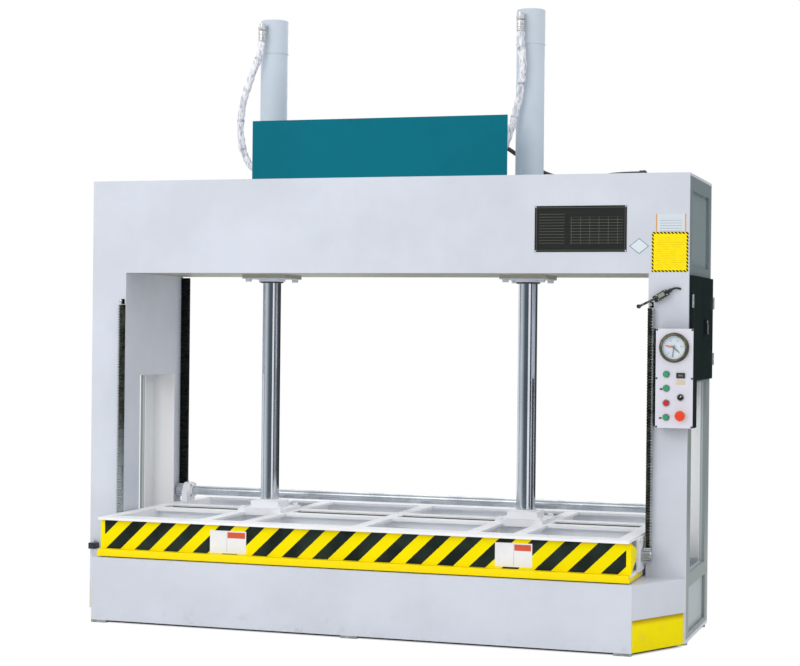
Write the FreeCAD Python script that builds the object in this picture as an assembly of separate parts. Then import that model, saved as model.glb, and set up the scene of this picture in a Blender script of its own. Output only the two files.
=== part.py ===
import FreeCAD, Part
import math
import os

os.makedirs("parts", exist_ok=True)
Vector = FreeCAD.Vector
X_AXIS = Vector(1, 0, 0)
Y_AXIS = Vector(0, 1, 0)
Z_AXIS = Vector(0, 0, 1)

# Two-cylinder cold press. Millimetres, +Z up, front towards -Y.
# The origin is on the floor, midway between the two piston rods.

# Portal frame
portal_depth = 649.0
portal_height = 2055.0
beam_height = 438.0
column_width = 175.5
face_plate = 12.0
beam_plate = 12.0
inner_wall = 8.0
outer_wall = 26.0
panel_recess = 14.0

# Windows and recessed panels of the columns; edges are measured from the face plates
inner_window_bottom = 330.0
inner_window_drop = 14.0
inner_window_front_edge = 152.5
inner_window_rear_edge = 70.5
outer_window_bottom = 309.0
outer_window_cabinet_gap = 20.0
outer_window_edge = 100.0
upper_panel_rise = 35.0
upper_panel_edge = 62.0
lower_panel_bottom = 50.0
lower_panel_top = 248.0
lower_panel_edge = 72.5

# Base and table
base_depth = 1295.0
base_corner = 175.0
table_top = 298.0
table_plate = 20.0
skirt_plate = 10.0
foot_height = 12.0
foot_plate = 15.0
anchor_hole = 18.0
anchor_edge = 22.0
anchor_end = 50.5
column_pad = 44.0
skirt_pad_length = 76.0
skirt_pad_width = 40.0
kick_height = 150.0
kick_recess = 8.0
rib_plate = 10.0
rib_pitch = 420.0

# Moving platen
platen_length = 2480.0
platen_depth = 1250.0
platen_end_gap = 14.5
daylight_closed = 5.0
platen_plate = 20.0
platen_height = 178.0
flange_plate = 12.0
web_plate = 10.0
edge_flange = 104.0
mid_flange = 85.0
mid_gap = 104.0
cross_flange = 60.0
cross_beam_inward = 106.0
cross_beam_outward = 104.0
shaft_hole_gap = 3.0
end_channel = 60.0
end_channel_web = 8.0
end_setback = 4.0
cover_sheet = 3.0
cover_standoff = 6.0
cover_bearing_gap = 19.5
cover_mitre_top = 40.0
cover_mitre_bottom = 58.0

# Hydraulic cylinders
cylinder_pitch = 1272.0
barrel_outside = 133.0
barrel_bore = 110.0
barrel_rise = 788.0
barrel_fit = 0.3
cap_length = 160.0
cap_plate = 40.0
cap_step = 1.0
cap_chamfer = 3.0
rod_diameter = 88.0
piston_length = 70.0
piston_rest_gap = 40.0
head_flange = 220.0
head_flange_plate = 20.0
gland_length = 62.0
gland_running_gap = 0.3
wiper_width = 14.0
wiper_height = 12.0
foot_base_width = 220.0
foot_base_depth = 274.0
foot_base_plate = 17.0
foot_flange = 140.0
foot_flange_plate = 32.0

# Racks, pinions and levelling shafts
gear_module = 4.0
pinion_teeth = 14
pressure_angle = math.radians(20.0)
backlash = 0.3
flank_steps = 4
rack_land = 1.0
shaft_diameter = 45.0
front_rack_width = 26.0
front_rack_thickness = 27.2
front_rack_offset = 1.5
front_rack_bottom = 360.0
front_rack_beam_gap = 152.0
front_shaft_z = 395.0
front_pinion_margin = 4.0
front_shaft_overrun = 22.0
rear_rack_width = 42.0
rear_rack_thickness = 22.0
rear_rack_bottom = 505.0
rear_rack_beam_gap = 6.0
rear_shaft_z = 537.0
rear_pinion_width = 34.0
rear_pinion_shift = 2.0
rear_shaft_overrun = 14.0
rack_clearance = 5.5
bearing_gap = 0.3
front_bearing_width = 130.0
front_bearing_height = 145.0
front_bearing_plate = 12.0
front_bearing_drop = 6.0
rear_bearing_width = 96.0
rear_bearing_thickness = 30.0
rear_bearing_shoulder = 8.0

# Cover panel in front of the hydraulic power unit
cover_panel_length = 1224.0
cover_panel_height = 270.0
cover_panel_sheet = 2.5
cover_panel_fold = 8.0
stay_inset = 122.0
stay_depth = 90.0
stay_drop = 40.0
stay_plate = 5.0

# Oil tank
tank_length = 400.0
tank_depth = 320.0
tank_height = 190.0
tank_left = -340.0
tank_front = -60.0
lid_overhang = 10.0
lid_plate = 8.0
filler_radius = 28.0
filler_height = 40.0
filler_inset = 75.0

# Motor, flanged to the tank
motor_radius = 80.0
motor_length = 250.0
motor_y = 100.0
motor_rise = 105.0
bell_length = 90.0
bell_radius = 64.0
motor_body_step = 6.0
motor_overlap = 20.0
end_shield = 16.0
fan_cowl = 50.0
fin_count = 20
fin_thickness = 4.0
fin_root = 12.0
fin_step = 1.0
motor_foot = 40.0
motor_foot_width = 140.0
foot_cowl_gap = 10.0
terminal_offset = 60.0
terminal_length = 80.0
terminal_width = 80.0
terminal_rise = 40.0

# Valve block, hose fittings and conduit fittings
manifold_size = 100.0
manifold_height = 130.0
manifold_y = -150.0
coil_radius = 20.0
coil_length = 60.0
coil_heights = (45.0, 100.0)
port_rise = 55.0
port_radius = 14.0
port_length = 26.0
cap_port_angle = math.radians(255.0)
cap_port_reach = 100.0
neck_radius = 11.0
neck_overlap = 1.0
elbow_radius = 13.0
elbow_drop = 36.0
elbow_leg = 24.0
elbow_rise = 12.0
hose_diameter = 30.0
hose_drop = 88.0
conduit_diameter = 20.0
conduit_run = 108.0
conduit_gland = 24.0
conduit_gland_radius = 14.0
conduit_gland_drop = 18.0
conduit_ball = 15.0
conduit_reach = 20.0
conduit_nut_radius = 20.0
conduit_nut = 8.0
conduit_end_x = 1150.0
conduit_end_rise = 26.0

# Electric cabinet in the right column
cabinet_edge = 22.5
cabinet_height = 440.0
cabinet_beam_gap = 17.0
cabinet_depth = 150.0
cabinet_sheet = 2.0
mounting_sheet = 3.0
mounting_standoff = 12.0
mounting_inset = 30.0
standoff_radius = 6.0
standoff_inset = 50.0
rail_heights = (130.0, 300.0)
rail_width = 35.0
rail_thickness = 7.0
rail_inset = 60.0
door_overlap = 10.0
door_thickness = 15.0
door_gap = 3.0
door_seal = 0.5
handle_offset = 20.0
handle_width = 26.0
handle_length = 70.0
handle_rise = 5.0
handle_plate = 8.0
handle_inset = 6.0
handle_height = 14.0

# Control box on the right column
box_inset = 54.5
box_width = 160.0
box_depth = 110.0
box_switch_gap = 142.0
box_height = 425.0
box_sheet = 2.0
panel_sheet = 3.0

# Buttons, knob and display, from the box's left and bottom edges
button_column = 47.0
button_rises = (("green_button_upper", 230.0), ("green_button_middle", 170.0),
                ("red_button", 107.0), ("green_button_lower", 46.0))
second_column = 108.0
knob_rise = 132.0
stop_rise = 53.0
display_rise = 215.0
button_radius = 11.0
button_gap = 0.3
button_height = 11.0
button_fillet = 1.5
bezel_radius = 15.0
bezel_height = 5.0
stop_radius = 22.0
stop_stand = 6.0
stop_height = 14.0
stop_fillet = 6.0
knob_base = 8.0
knob_height = 20.0
knob_grip = 8.0
knob_angle = 45.0
display_width = 26.0
display_height = 20.0
display_proud = 4.0

# Pressure gauge
gauge_column = 79.0
gauge_rise = 344.0
gauge_radius = 64.0
gauge_height = 22.0
gauge_rim = 8.0
gauge_wall = 14.0
dial_seat = 4.0
dial_thickness = 4.0
dial_gap = 0.3

# Limit switches on the column fronts
switch_inset = 57.5
switch_drop = 98.0
switch_length = 66.0
switch_width = 28.0
switch_depth = 34.0
switch_tilt = 31.0
cable_neck = 20.0
cable_neck_radius = 8.0
pivot_inset = 12.0
pin_radius = 4.0
pin_gap = 0.3
pin_head = 1.0
lever_length = 82.0
lever_plate = 5.0
lever_width = 10.0
lever_gap = 2.0
lever_angle = 26.0
hub_radius = 9.0
roller_radius = 9.0
roller_stand = 8.0
lower_switch_edge = 9.0
lower_switch_width = 38.0
lower_switch_depth = 36.0
lower_switch_height = 28.0

# Sizes worked out from the ones above
half_platen = platen_length / 2
half_clear = half_platen + platen_end_gap
half_width = half_clear + column_width
half_depth = portal_depth / 2
plate_inside = half_depth - face_plate
beam_bottom = portal_height - beam_height
cabinet_top = beam_bottom - cabinet_beam_gap
cabinet_bottom = cabinet_top - cabinet_height
outer_window_top = cabinet_bottom - outer_window_cabinet_gap
inner_window_top = outer_window_top - inner_window_drop
upper_panel_bottom = beam_bottom + upper_panel_rise
half_base = base_depth / 2
half_base_length = half_width - base_corner
anchor_row = plate_inside - anchor_end
platen_bottom = table_top + daylight_closed
platen_top = platen_bottom + platen_height
beam_floor = platen_bottom + platen_plate
half_platen_depth = platen_depth / 2
edge_inner = half_platen_depth - edge_flange
mid_inner = mid_gap / 2
mid_outer = mid_inner + mid_flange
rod_x = cylinder_pitch / 2
end_outer = half_platen - end_setback
end_inner = end_outer - end_channel
rod_bottom = platen_top + foot_base_plate + foot_flange_plate
barrel_radius = barrel_outside / 2
barrel_top = portal_height + barrel_rise
barrel_body = barrel_radius - cap_step
head_bottom = beam_bottom - head_flange_plate
pitch_radius = gear_module * pinion_teeth / 2
tip_radius = pitch_radius + gear_module
root_radius = pitch_radius - 1.1 * gear_module
rack_addendum = 0.8 * gear_module
rack_dedendum = 1.25 * gear_module
rack_pitch = math.pi * gear_module
front_shaft_y = -half_depth - front_rack_thickness + rack_addendum - pitch_radius
rear_shaft_y = half_depth - rear_rack_thickness + rack_addendum - pitch_radius
front_rack_x = half_clear + front_rack_offset + front_rack_width / 2
front_rack_top = beam_bottom - front_rack_beam_gap
rear_rack_x = half_clear - rear_rack_width / 2
rear_rack_top = beam_bottom - rear_rack_beam_gap
motor_z = portal_height + motor_rise
motor_start = tank_left + tank_length + bell_length
cap_port = Vector(math.cos(cap_port_angle), math.sin(cap_port_angle), 0)
elbow_z = barrel_top - elbow_drop
port_z = portal_height + port_rise
conduit_start = (motor_start + terminal_offset + terminal_length + conduit_gland, motor_y,
                 motor_z + motor_radius + terminal_rise - conduit_gland_drop)
conduit_end = (conduit_end_x, 0, portal_height + conduit_end_rise)
half_cabinet = plate_inside - cabinet_edge
switch_x = half_clear + switch_inset
switch_z = beam_bottom - switch_drop
box_left = half_clear + box_inset
box_top = switch_z - box_switch_gap
box_bottom = box_top - box_height
panel_face = -half_depth - box_depth - panel_sheet
button_x = box_left + button_column
second_x = box_left + second_column
knob_z = box_bottom + knob_rise
stop_z = box_bottom + stop_rise
display_z = box_bottom + display_rise
gauge_x = box_left + gauge_column
gauge_z = box_bottom + gauge_rise
lever_back = -half_depth - switch_depth - lever_gap
lever_front = lever_back - lever_plate


# General shapes
def box(x0, x1, y0, y1, z0, z1):
    return Part.makeBox(x1 - x0, y1 - y0, z1 - z0, Vector(x0, y0, z0))


def rod(radius, start, length, axis):
    return Part.makeCylinder(radius, length, start, axis)


def tube(outer, inner, start, length, axis):
    return rod(outer, start, length, axis).cut(rod(inner, start, length, axis))


def prism(points, direction):
    wire = Part.makePolygon([Vector(*p) for p in points] + [Vector(*points[0])])
    return Part.Face(wire).extrude(Vector(*direction))


def flipped(shape):
    """The same piece on the left side, mirrored across the middle of the machine."""
    return shape.mirror(Vector(0, 0, 0), X_AXIS)


def both_sides(shape):
    return [shape, flipped(shape)]


def save(name, *solids):
    shape = solids[0] if len(solids) == 1 else Part.makeCompound(list(solids))
    shape.exportStep(os.path.join("parts", name + ".step"))


# Portal: the front and rear plates are inverted U shapes
def portal_plate(y0):
    plate = box(-half_width, half_width, y0, y0 + face_plate, foot_height, portal_height)
    return plate.cut(box(-half_clear, half_clear, y0, y0 + face_plate, foot_height, beam_bottom))


def column_inner_wall():
    wall = box(half_clear, half_clear + inner_wall, -plate_inside, plate_inside,
               foot_height + foot_plate, portal_height - beam_plate)
    return wall.cut(box(half_clear, half_clear + inner_wall,
                        -plate_inside + inner_window_front_edge, plate_inside - inner_window_rear_edge,
                        inner_window_bottom, inner_window_top))


def column_outer_wall(has_cabinet):
    """Welded side of a column: a window, recessed panels and, on the right, the cabinet's cut-out."""
    inside = half_width - outer_wall
    pocket = half_width - panel_recess
    wall = box(inside, half_width, -plate_inside, plate_inside,
               foot_height + foot_plate, portal_height - beam_plate)
    window_half = plate_inside - outer_window_edge
    wall = wall.cut(box(inside, half_width, -window_half, window_half,
                        outer_window_bottom, outer_window_top))
    upper_half = plate_inside - upper_panel_edge
    wall = wall.cut(box(pocket, half_width, -upper_half, upper_half,
                        upper_panel_bottom, portal_height - beam_plate - upper_panel_edge))
    lower_half = plate_inside - lower_panel_edge
    wall = wall.cut(box(pocket, half_width, -lower_half, lower_half,
                        lower_panel_bottom, lower_panel_top))
    cut_depth = inside if has_cabinet else pocket
    return wall.cut(box(cut_depth, half_width, -half_cabinet, half_cabinet,
                        cabinet_bottom, cabinet_top))


def beam_cover(x_half, z0):
    plate = box(-x_half, x_half, -plate_inside, plate_inside, z0, z0 + beam_plate)
    for x in (-rod_x, rod_x):
        plate = plate.cut(rod(barrel_body + barrel_fit, Vector(x, 0, z0), beam_plate, Z_AXIS))
    return plate


# Base: skirts with chamfered corners round a table plate
def base_outline(inset, z0, z1):
    corner = [(-half_width, -half_depth, z0), (-half_base_length, -half_base, z0)]
    front = corner + [(-x, y, z) for x, y, z in reversed(corner)]
    points = front + [(x, -y, z) for x, y, z in reversed(front)]
    face = Part.Face(Part.makePolygon([Vector(*p) for p in points] + [Vector(*points[0])]))
    if inset > 0:
        face = face.makeOffset2D(-inset, 2)
    return face.extrude(Vector(0, 0, z1 - z0))


def base_skirts():
    ring = base_outline(0, foot_height, table_top).cut(
        base_outline(skirt_plate, foot_height, table_top))
    ring = ring.cut(box(-half_width, half_width, -half_depth, half_depth, 0, table_top))
    kick_zone = box(half_base_length, half_width, -half_base, half_base, 0, kick_height)
    for zone in both_sides(kick_zone):
        ring = ring.cut(zone)
    return ring.Solids


def kick_plates():
    ring = base_outline(kick_recess, foot_height, kick_height).cut(
        base_outline(kick_recess + skirt_plate, foot_height, kick_height))
    ring = ring.cut(box(-half_width, half_width, -half_depth, half_depth, 0, table_top))
    ring = ring.cut(box(-half_base_length, half_base_length, -half_base, half_base, 0, table_top))
    return ring.Solids


def table():
    plate = base_outline(skirt_plate, table_top - table_plate, table_top)
    for column in both_sides(box(half_clear, half_width, -half_depth, half_depth, 0, table_top)):
        plate = plate.cut(column)
    return plate


def base_ribs():
    reach = half_base - skirt_plate
    return [box(i * rib_pitch - rib_plate / 2, i * rib_pitch + rib_plate / 2, -reach, reach,
                foot_height, table_top - table_plate) for i in range(-2, 3)]


def column_foot_plates():
    plate = box(half_clear, half_width, -plate_inside, plate_inside,
                foot_height, foot_height + foot_plate)
    for y in (-anchor_row, anchor_row):
        plate = plate.cut(rod(anchor_hole / 2, Vector(half_width - anchor_edge, y, foot_height),
                              foot_plate, Z_AXIS))
    return both_sides(plate)


def foot_pads():
    pads = []
    for y in (-anchor_row, anchor_row):
        centre = Vector(half_width - anchor_edge, y, 0)
        pads += both_sides(tube(column_pad / 2, anchor_hole / 2, centre, foot_height, Z_AXIS))
    for x in (-half_base_length + skirt_pad_length / 2, 0, half_base_length - skirt_pad_length / 2):
        for side in (-1, 1):
            y0, y1 = sorted((side * half_base, side * (half_base - skirt_pad_width)))
            pads.append(box(x - skirt_pad_length / 2, x + skirt_pad_length / 2, y0, y1,
                            0, foot_height))
    return pads


# Platen: welded beams on a thick pressing plate
def notched(shape, z0, z1):
    """Clears the rear racks on both sides."""
    x0 = half_clear - rear_rack_width - rack_clearance
    y0 = half_depth - rear_rack_thickness - rack_clearance
    for zone in both_sides(box(x0, half_width, y0, half_depth + rack_clearance, z0, z1)):
        shape = shape.cut(zone)
    return shape


def i_profile(width, low, high):
    """Outline of an I beam as pairs of offset across and height."""
    half = width / 2
    web = web_plate / 2
    side = [(half, low), (half, low + flange_plate), (web, low + flange_plate),
            (web, high - flange_plate), (half, high - flange_plate), (half, high)]
    return side + [(-a, b) for a, b in reversed(side)]


def beam_along_x(x0, x1, y, width):
    points = [(x0, y + a, b) for a, b in i_profile(width, beam_floor, platen_top)]
    return prism(points, (x1 - x0, 0, 0))


def beam_along_y(x, y0, y1):
    points = [(x + a, y0, b) for a, b in i_profile(cross_flange, beam_floor, platen_top)]
    return prism(points, (0, y1 - y0, 0))


def shaft_hole(x0, x1):
    return rod(shaft_diameter / 2 + shaft_hole_gap, Vector(x0, front_shaft_y, front_shaft_z),
               x1 - x0, X_AXIS)


def long_beams():
    edge_y = half_platen_depth - edge_flange / 2
    mid_y = mid_inner + mid_flange / 2
    beams = [beam_along_x(-end_outer, end_outer, y, edge_flange) for y in (-edge_y, edge_y)]
    beams += [beam_along_x(-end_inner, end_inner, y, mid_flange) for y in (-mid_y, mid_y)]
    return beams


def cross_beams():
    """Five lines of short beams: in front of, between and behind the two middle beams."""
    beams = []
    inner_x = rod_x - cross_beam_inward
    outer_x = rod_x + cross_beam_outward
    for x in (-outer_x, -inner_x, 0, inner_x, outer_x):
        front = beam_along_y(x, -edge_inner, -mid_outer)
        beams.append(front.cut(shaft_hole(x - cross_flange, x + cross_flange)))
        beams.append(beam_along_y(x, -mid_inner, mid_inner))
        beams.append(beam_along_y(x, mid_outer, edge_inner))
    return beams


def end_channels():
    points = [(end_inner, beam_floor), (end_outer, beam_floor),
              (end_outer, beam_floor + flange_plate),
              (end_inner + end_channel_web, beam_floor + flange_plate),
              (end_inner + end_channel_web, platen_top - flange_plate),
              (end_outer, platen_top - flange_plate), (end_outer, platen_top),
              (end_inner, platen_top)]
    channel = prism([(x, -edge_inner, z) for x, z in points], (0, 2 * edge_inner, 0))
    channel = channel.cut(shaft_hole(end_inner, end_outer))
    return both_sides(notched(channel, beam_floor, platen_top))


def striped_cover():
    """Bent sheet in front of the front beam, with mitred returns that stop short of the bearings."""
    y0 = -half_platen_depth + edge_flange / 2 - web_plate / 2 - cover_standoff - cover_sheet
    low = beam_floor + flange_plate
    high = platen_top - flange_plate
    sheet = box(-half_platen, half_platen, y0, y0 + cover_sheet, low, high)
    x0 = half_platen - cover_sheet
    y1 = y0 + cover_sheet
    y2 = front_shaft_y - front_bearing_width / 2 - cover_bearing_gap
    side = [(x0, y1, low), (x0, y2, low + cover_mitre_bottom),
            (x0, y2, high - cover_mitre_top), (x0, y1, high)]
    for wing in both_sides(prism(side, (cover_sheet, 0, 0))):
        sheet = sheet.fuse(wing)
    return sheet.removeSplitter()


def rod_feet():
    low = platen_top + foot_base_plate
    base_half = foot_base_width / 2
    flange_half = foot_flange / 2
    foot = box(rod_x - base_half, rod_x + base_half, -foot_base_depth / 2, foot_base_depth / 2,
               platen_top, low)
    foot = foot.fuse(box(rod_x - flange_half, rod_x + flange_half, -flange_half, flange_half,
                         low, rod_bottom))
    return both_sides(foot.removeSplitter())


def piston_rods():
    piston_low = beam_bottom + gland_length + piston_rest_gap
    shaft = rod(rod_diameter / 2, Vector(rod_x, 0, rod_bottom), piston_low - rod_bottom, Z_AXIS)
    piston = rod(barrel_bore / 2 - gland_running_gap, Vector(rod_x, 0, piston_low),
                 piston_length, Z_AXIS)
    return both_sides(shaft.fuse(piston))


# Cylinders: barrel with welded cap, held by a flange under the beam
def cylinder_barrel():
    low = Vector(rod_x, 0, beam_bottom)
    height = barrel_top - beam_bottom
    body = rod(barrel_body, low, height - cap_length, Z_AXIS)
    cap = rod(barrel_radius, Vector(rod_x, 0, barrel_top - cap_length), cap_length, Z_AXIS)
    rim = [e for e in cap.Edges if abs(e.BoundBox.ZMin - barrel_top) < 0.1]
    cap = cap.makeChamfer(cap_chamfer, rim)
    return body.fuse(cap).cut(rod(barrel_bore / 2, low, height - cap_plate, Z_AXIS))


def cylinder_flange():
    half = head_flange / 2
    low = head_bottom - wiper_height
    flange = box(rod_x - half, rod_x + half, -half, half, head_bottom, beam_bottom)
    spigot = rod(barrel_bore / 2 - gland_running_gap, Vector(rod_x, 0, beam_bottom),
                 gland_length, Z_AXIS)
    lip = rod(rod_diameter / 2 + wiper_width, Vector(rod_x, 0, low), wiper_height, Z_AXIS)
    hole = rod(rod_diameter / 2 + gland_running_gap, Vector(rod_x, 0, low),
               wiper_height + head_flange_plate + gland_length, Z_AXIS)
    return flange.fuse(spigot).fuse(lip).cut(hole).removeSplitter()


# Racks and pinions
def rack(x0, width, back_y, thickness, bottom, top, mesh_z):
    """Toothed bar, teeth towards -Y, with a gap centred at the pinion's height."""
    tip_y = back_y - thickness
    root_y = tip_y + rack_addendum + rack_dedendum
    slope = math.tan(pressure_angle)
    half_gap_tip = rack_pitch / 4 + rack_addendum * slope
    half_gap_root = rack_pitch / 4 - rack_dedendum * slope
    first = math.ceil((bottom + half_gap_tip + rack_land - mesh_z) / rack_pitch)
    last = math.floor((top - half_gap_tip - rack_land - mesh_z) / rack_pitch)
    points = [(x0, back_y, bottom), (x0, tip_y, bottom)]
    for i in range(first, last + 1):
        z = mesh_z + i * rack_pitch
        points += [(x0, tip_y, z - half_gap_tip), (x0, root_y, z - half_gap_root),
                   (x0, root_y, z + half_gap_root), (x0, tip_y, z + half_gap_tip)]
    points += [(x0, tip_y, top), (x0, back_y, top)]
    return prism(points, (width, 0, 0))


def involute_flank(base, tip):
    """Polar points of one flank, from the base circle to the tip."""
    points = []
    for i in range(flank_steps + 1):
        radius = base + (tip - base) * i / flank_steps
        roll = math.acos(base / radius)
        points.append((radius, math.tan(roll) - roll))
    return points


def pinion(x0, width, y, z):
    base = pitch_radius * math.cos(pressure_angle)
    pitch_angle = math.tan(pressure_angle) - pressure_angle
    half_tooth = math.pi / (2 * pinion_teeth) - backlash / (2 * pitch_radius) + pitch_angle
    flank = involute_flank(base, tip_radius)
    points = []
    for i in range(pinion_teeth):
        centre = math.pi / 2 + 2 * math.pi * i / pinion_teeth
        rising = [(r, centre - half_tooth + a) for r, a in flank]
        falling = [(r, centre + half_tooth - a) for r, a in reversed(flank)]
        foot = [(root_radius, centre - half_tooth)]
        heel = [(root_radius, centre + half_tooth)]
        points += foot + rising + falling + heel
    return prism([(x0, y + r * math.sin(a), z - r * math.cos(a)) for r, a in points], (width, 0, 0))


def levelling_shaft(y, z, gear_x, gear_width, end_x):
    shaft = rod(shaft_diameter / 2, Vector(-end_x, y, z), 2 * end_x, X_AXIS)
    for gear in both_sides(pinion(gear_x - gear_width / 2, gear_width, y, z)):
        shaft = shaft.fuse(gear)
    return shaft


def shaft_bearings():
    bore = shaft_diameter / 2 + bearing_gap
    plate_top = platen_top - front_bearing_drop
    plate = box(end_outer, end_outer + front_bearing_plate,
                front_shaft_y - front_bearing_width / 2, front_shaft_y + front_bearing_width / 2,
                plate_top - front_bearing_height, plate_top)
    plate = plate.cut(rod(bore, Vector(end_outer, front_shaft_y, front_shaft_z),
                          front_bearing_plate, X_AXIS))
    block = box(end_inner, end_inner + rear_bearing_thickness,
                rear_shaft_y - rear_bearing_width / 2, rear_shaft_y + rear_bearing_width / 2,
                platen_top, rear_shaft_z)
    centre = Vector(end_inner, rear_shaft_y, rear_shaft_z)
    crown = rod(rear_bearing_width / 2 - rear_bearing_shoulder, centre,
                rear_bearing_thickness, X_AXIS)
    block = block.fuse(crown).cut(rod(bore, centre, rear_bearing_thickness, X_AXIS))
    return both_sides(plate) + both_sides(block)


# Hydraulic power unit on the beam
def cover_panel():
    """Flat sheet with folded edges in the plane of the portal's front, on two stays."""
    half = cover_panel_length / 2
    top = portal_height + cover_panel_height
    y0 = -half_depth
    y1 = y0 + cover_panel_sheet
    panel = box(-half, half, y0, y0 + cover_panel_fold, portal_height, top)
    panel = panel.cut(box(-half + cover_panel_sheet, half - cover_panel_sheet,
                          y1, y0 + cover_panel_fold, portal_height, top - cover_panel_sheet))
    stay = prism([(half - stay_inset, y1, portal_height),
                  (half - stay_inset, y0 + stay_depth, portal_height),
                  (half - stay_inset, y1, top - stay_drop)], (stay_plate, 0, 0))
    for side in both_sides(stay):
        panel = panel.fuse(side)
    return panel


def oil_tank():
    x1 = tank_left + tank_length
    y1 = tank_front + tank_depth
    top = portal_height + tank_height
    tank = box(tank_left, x1, tank_front, y1, portal_height, top)
    lid = box(tank_left - lid_overhang, x1 + lid_overhang, tank_front - lid_overhang,
              y1 + lid_overhang, top, top + lid_plate)
    filler = rod(filler_radius, Vector(tank_left + filler_inset, y1 - filler_inset, top + lid_plate),
                 filler_height, Z_AXIS)
    return tank.fuse(lid).fuse(filler).removeSplitter()


def pump_motor():
    centre = Vector(motor_start, motor_y, motor_z)
    cowl_x = motor_start + motor_length - fan_cowl
    motor = rod(bell_radius, centre - Vector(bell_length, 0, 0), bell_length, X_AXIS)
    motor = motor.fuse(rod(motor_radius - motor_body_step, centre, motor_length, X_AXIS))
    motor = motor.fuse(rod(motor_radius, centre, end_shield, X_AXIS))
    motor = motor.fuse(rod(motor_radius, Vector(cowl_x, motor_y, motor_z), fan_cowl, X_AXIS))
    for i in range(fin_count):
        fin = box(motor_start + end_shield, cowl_x,
                  motor_y - fin_thickness / 2, motor_y + fin_thickness / 2,
                  motor_z + motor_radius - fin_root, motor_z + motor_radius - fin_step)
        motor = motor.fuse(fin.rotate(centre, X_AXIS, 360 * i / fin_count))
    overlap = motor_radius - motor_overlap
    for x in (motor_start + motor_foot, cowl_x - foot_cowl_gap - motor_foot):
        motor = motor.fuse(box(x, x + motor_foot, motor_y - motor_foot_width / 2,
                               motor_y + motor_foot_width / 2, portal_height, motor_z - overlap))
    terminal_x = motor_start + terminal_offset
    return motor.fuse(box(terminal_x, terminal_x + terminal_length, motor_y - terminal_width / 2,
                          motor_y + terminal_width / 2, motor_z + overlap,
                          motor_z + motor_radius + terminal_rise))


def valve_manifold():
    half = manifold_size / 2
    block = box(-half, half, manifold_y - half, manifold_y + half,
                portal_height, portal_height + manifold_height)
    for height in coil_heights:
        start = Vector(0, manifold_y - half - coil_length, portal_height + height)
        block = block.fuse(rod(coil_radius, start, coil_length, Y_AXIS))
    return block


def hose_fittings():
    """Elbows on the caps' ports, which point forwards and a little to the left, and two unions."""
    fittings = []
    start = barrel_radius - neck_overlap
    for x in (-rod_x, rod_x):
        centre = Vector(x, 0, elbow_z)
        neck = rod(neck_radius, centre + cap_port * start, cap_port_reach - start, cap_port)
        drop = rod(elbow_radius, centre + cap_port * cap_port_reach - Vector(0, 0, elbow_leg),
                   elbow_leg + elbow_rise, Z_AXIS)
        barrel = rod(barrel_radius, Vector(x, 0, 0), barrel_top, Z_AXIS)
        fittings.append(neck.fuse(drop).cut(barrel))
    for x in (-manifold_size / 2 - port_length, manifold_size / 2):
        fittings.append(rod(port_radius, Vector(x, manifold_y, port_z), port_length, X_AXIS))
    return fittings


# Cords held at both ends: straight runs joined by tangent arcs
def routed_tube(name, points, diameter):
    points = [Vector(*p) for p in points]
    edges = []
    radii = []
    start = points[0]
    for before, corner, after in zip(points, points[1:], points[2:]):
        run_in = corner - before
        run_out = after - corner
        turn = run_in.getAngle(run_out)
        cut = 0.45 * min(run_in.Length, run_out.Length)
        radii.append(cut / math.tan(turn / 2))
        first = corner - run_in.normalize() * cut
        last = corner + run_out.normalize() * cut
        middle = corner + (run_out - run_in).normalize() * radii[-1] * (1 / math.cos(turn / 2) - 1)
        edges.append(Part.LineSegment(start, first).toShape())
        edges.append(Part.Arc(first, middle, last).toShape())
        start = last
    edges.append(Part.LineSegment(start, points[-1]).toShape())
    path = Part.Wire(edges)
    section = Part.Wire(Part.Circle(points[0], points[1] - points[0], diameter / 2).toShape())
    solid = path.makePipeShell([section], True, False)
    expected = math.pi * diameter ** 2 / 4 * path.Length
    print(name, "length", round(path.Length), "radii", [round(r) for r in radii],
          "volume ratio", round(solid.Volume / expected, 4))
    return solid


def hose_start(x):
    """Lower end of the elbow on the cap's port, and the end of the hose's straight drop from it."""
    start = Vector(x, 0, elbow_z - elbow_leg) + cap_port * cap_port_reach
    return start, (start.x, start.y, start.z - hose_drop)


def above_beam(points):
    """Route points given as x, y and height above the beam's top."""
    return [(x, y, portal_height + z) for x, y, z in points]


def left_hose():
    route = [(-700, -98, 545), (-744, -90, 445), (-772, -80, 345), (-780, -72, 245),
             (-764, -72, 150), (-716, -80, 75), (-640, -96, 33), (-545, -112, 23),
             (-430, -128, 33), (-315, -142, 49), (-200, manifold_y, port_rise),
             (-manifold_size / 2 - port_length, manifold_y, port_rise)]
    points = [*hose_start(-rod_x), *above_beam(route)]
    return routed_tube("left_hose", points, hose_diameter)


def right_hose():
    route = [(628, -97, 525), (616, -95, 415), (592, -92, 310), (566, -92, 210),
             (526, -96, 120), (462, -104, 53), (375, -116, 27), (275, -138, 43),
             (175, manifold_y, port_rise), (manifold_size / 2 + port_length, manifold_y, port_rise)]
    points = [*hose_start(rod_x), *above_beam(route)]
    return routed_tube("right_hose", points, hose_diameter)


def motor_conduit():
    x, y, z = conduit_start
    far_x, far_y, far_z = conduit_end
    route = [(520, 112, 155), (610, 122, 81), (710, 124, 29), (820, 112, 13), (930, 62, 13)]
    points = [conduit_start, (x + conduit_run, y, z), *above_beam(route),
              (far_x - conduit_run, far_y, far_z), conduit_end]
    return routed_tube("motor_conduit", points, conduit_diameter)


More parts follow.
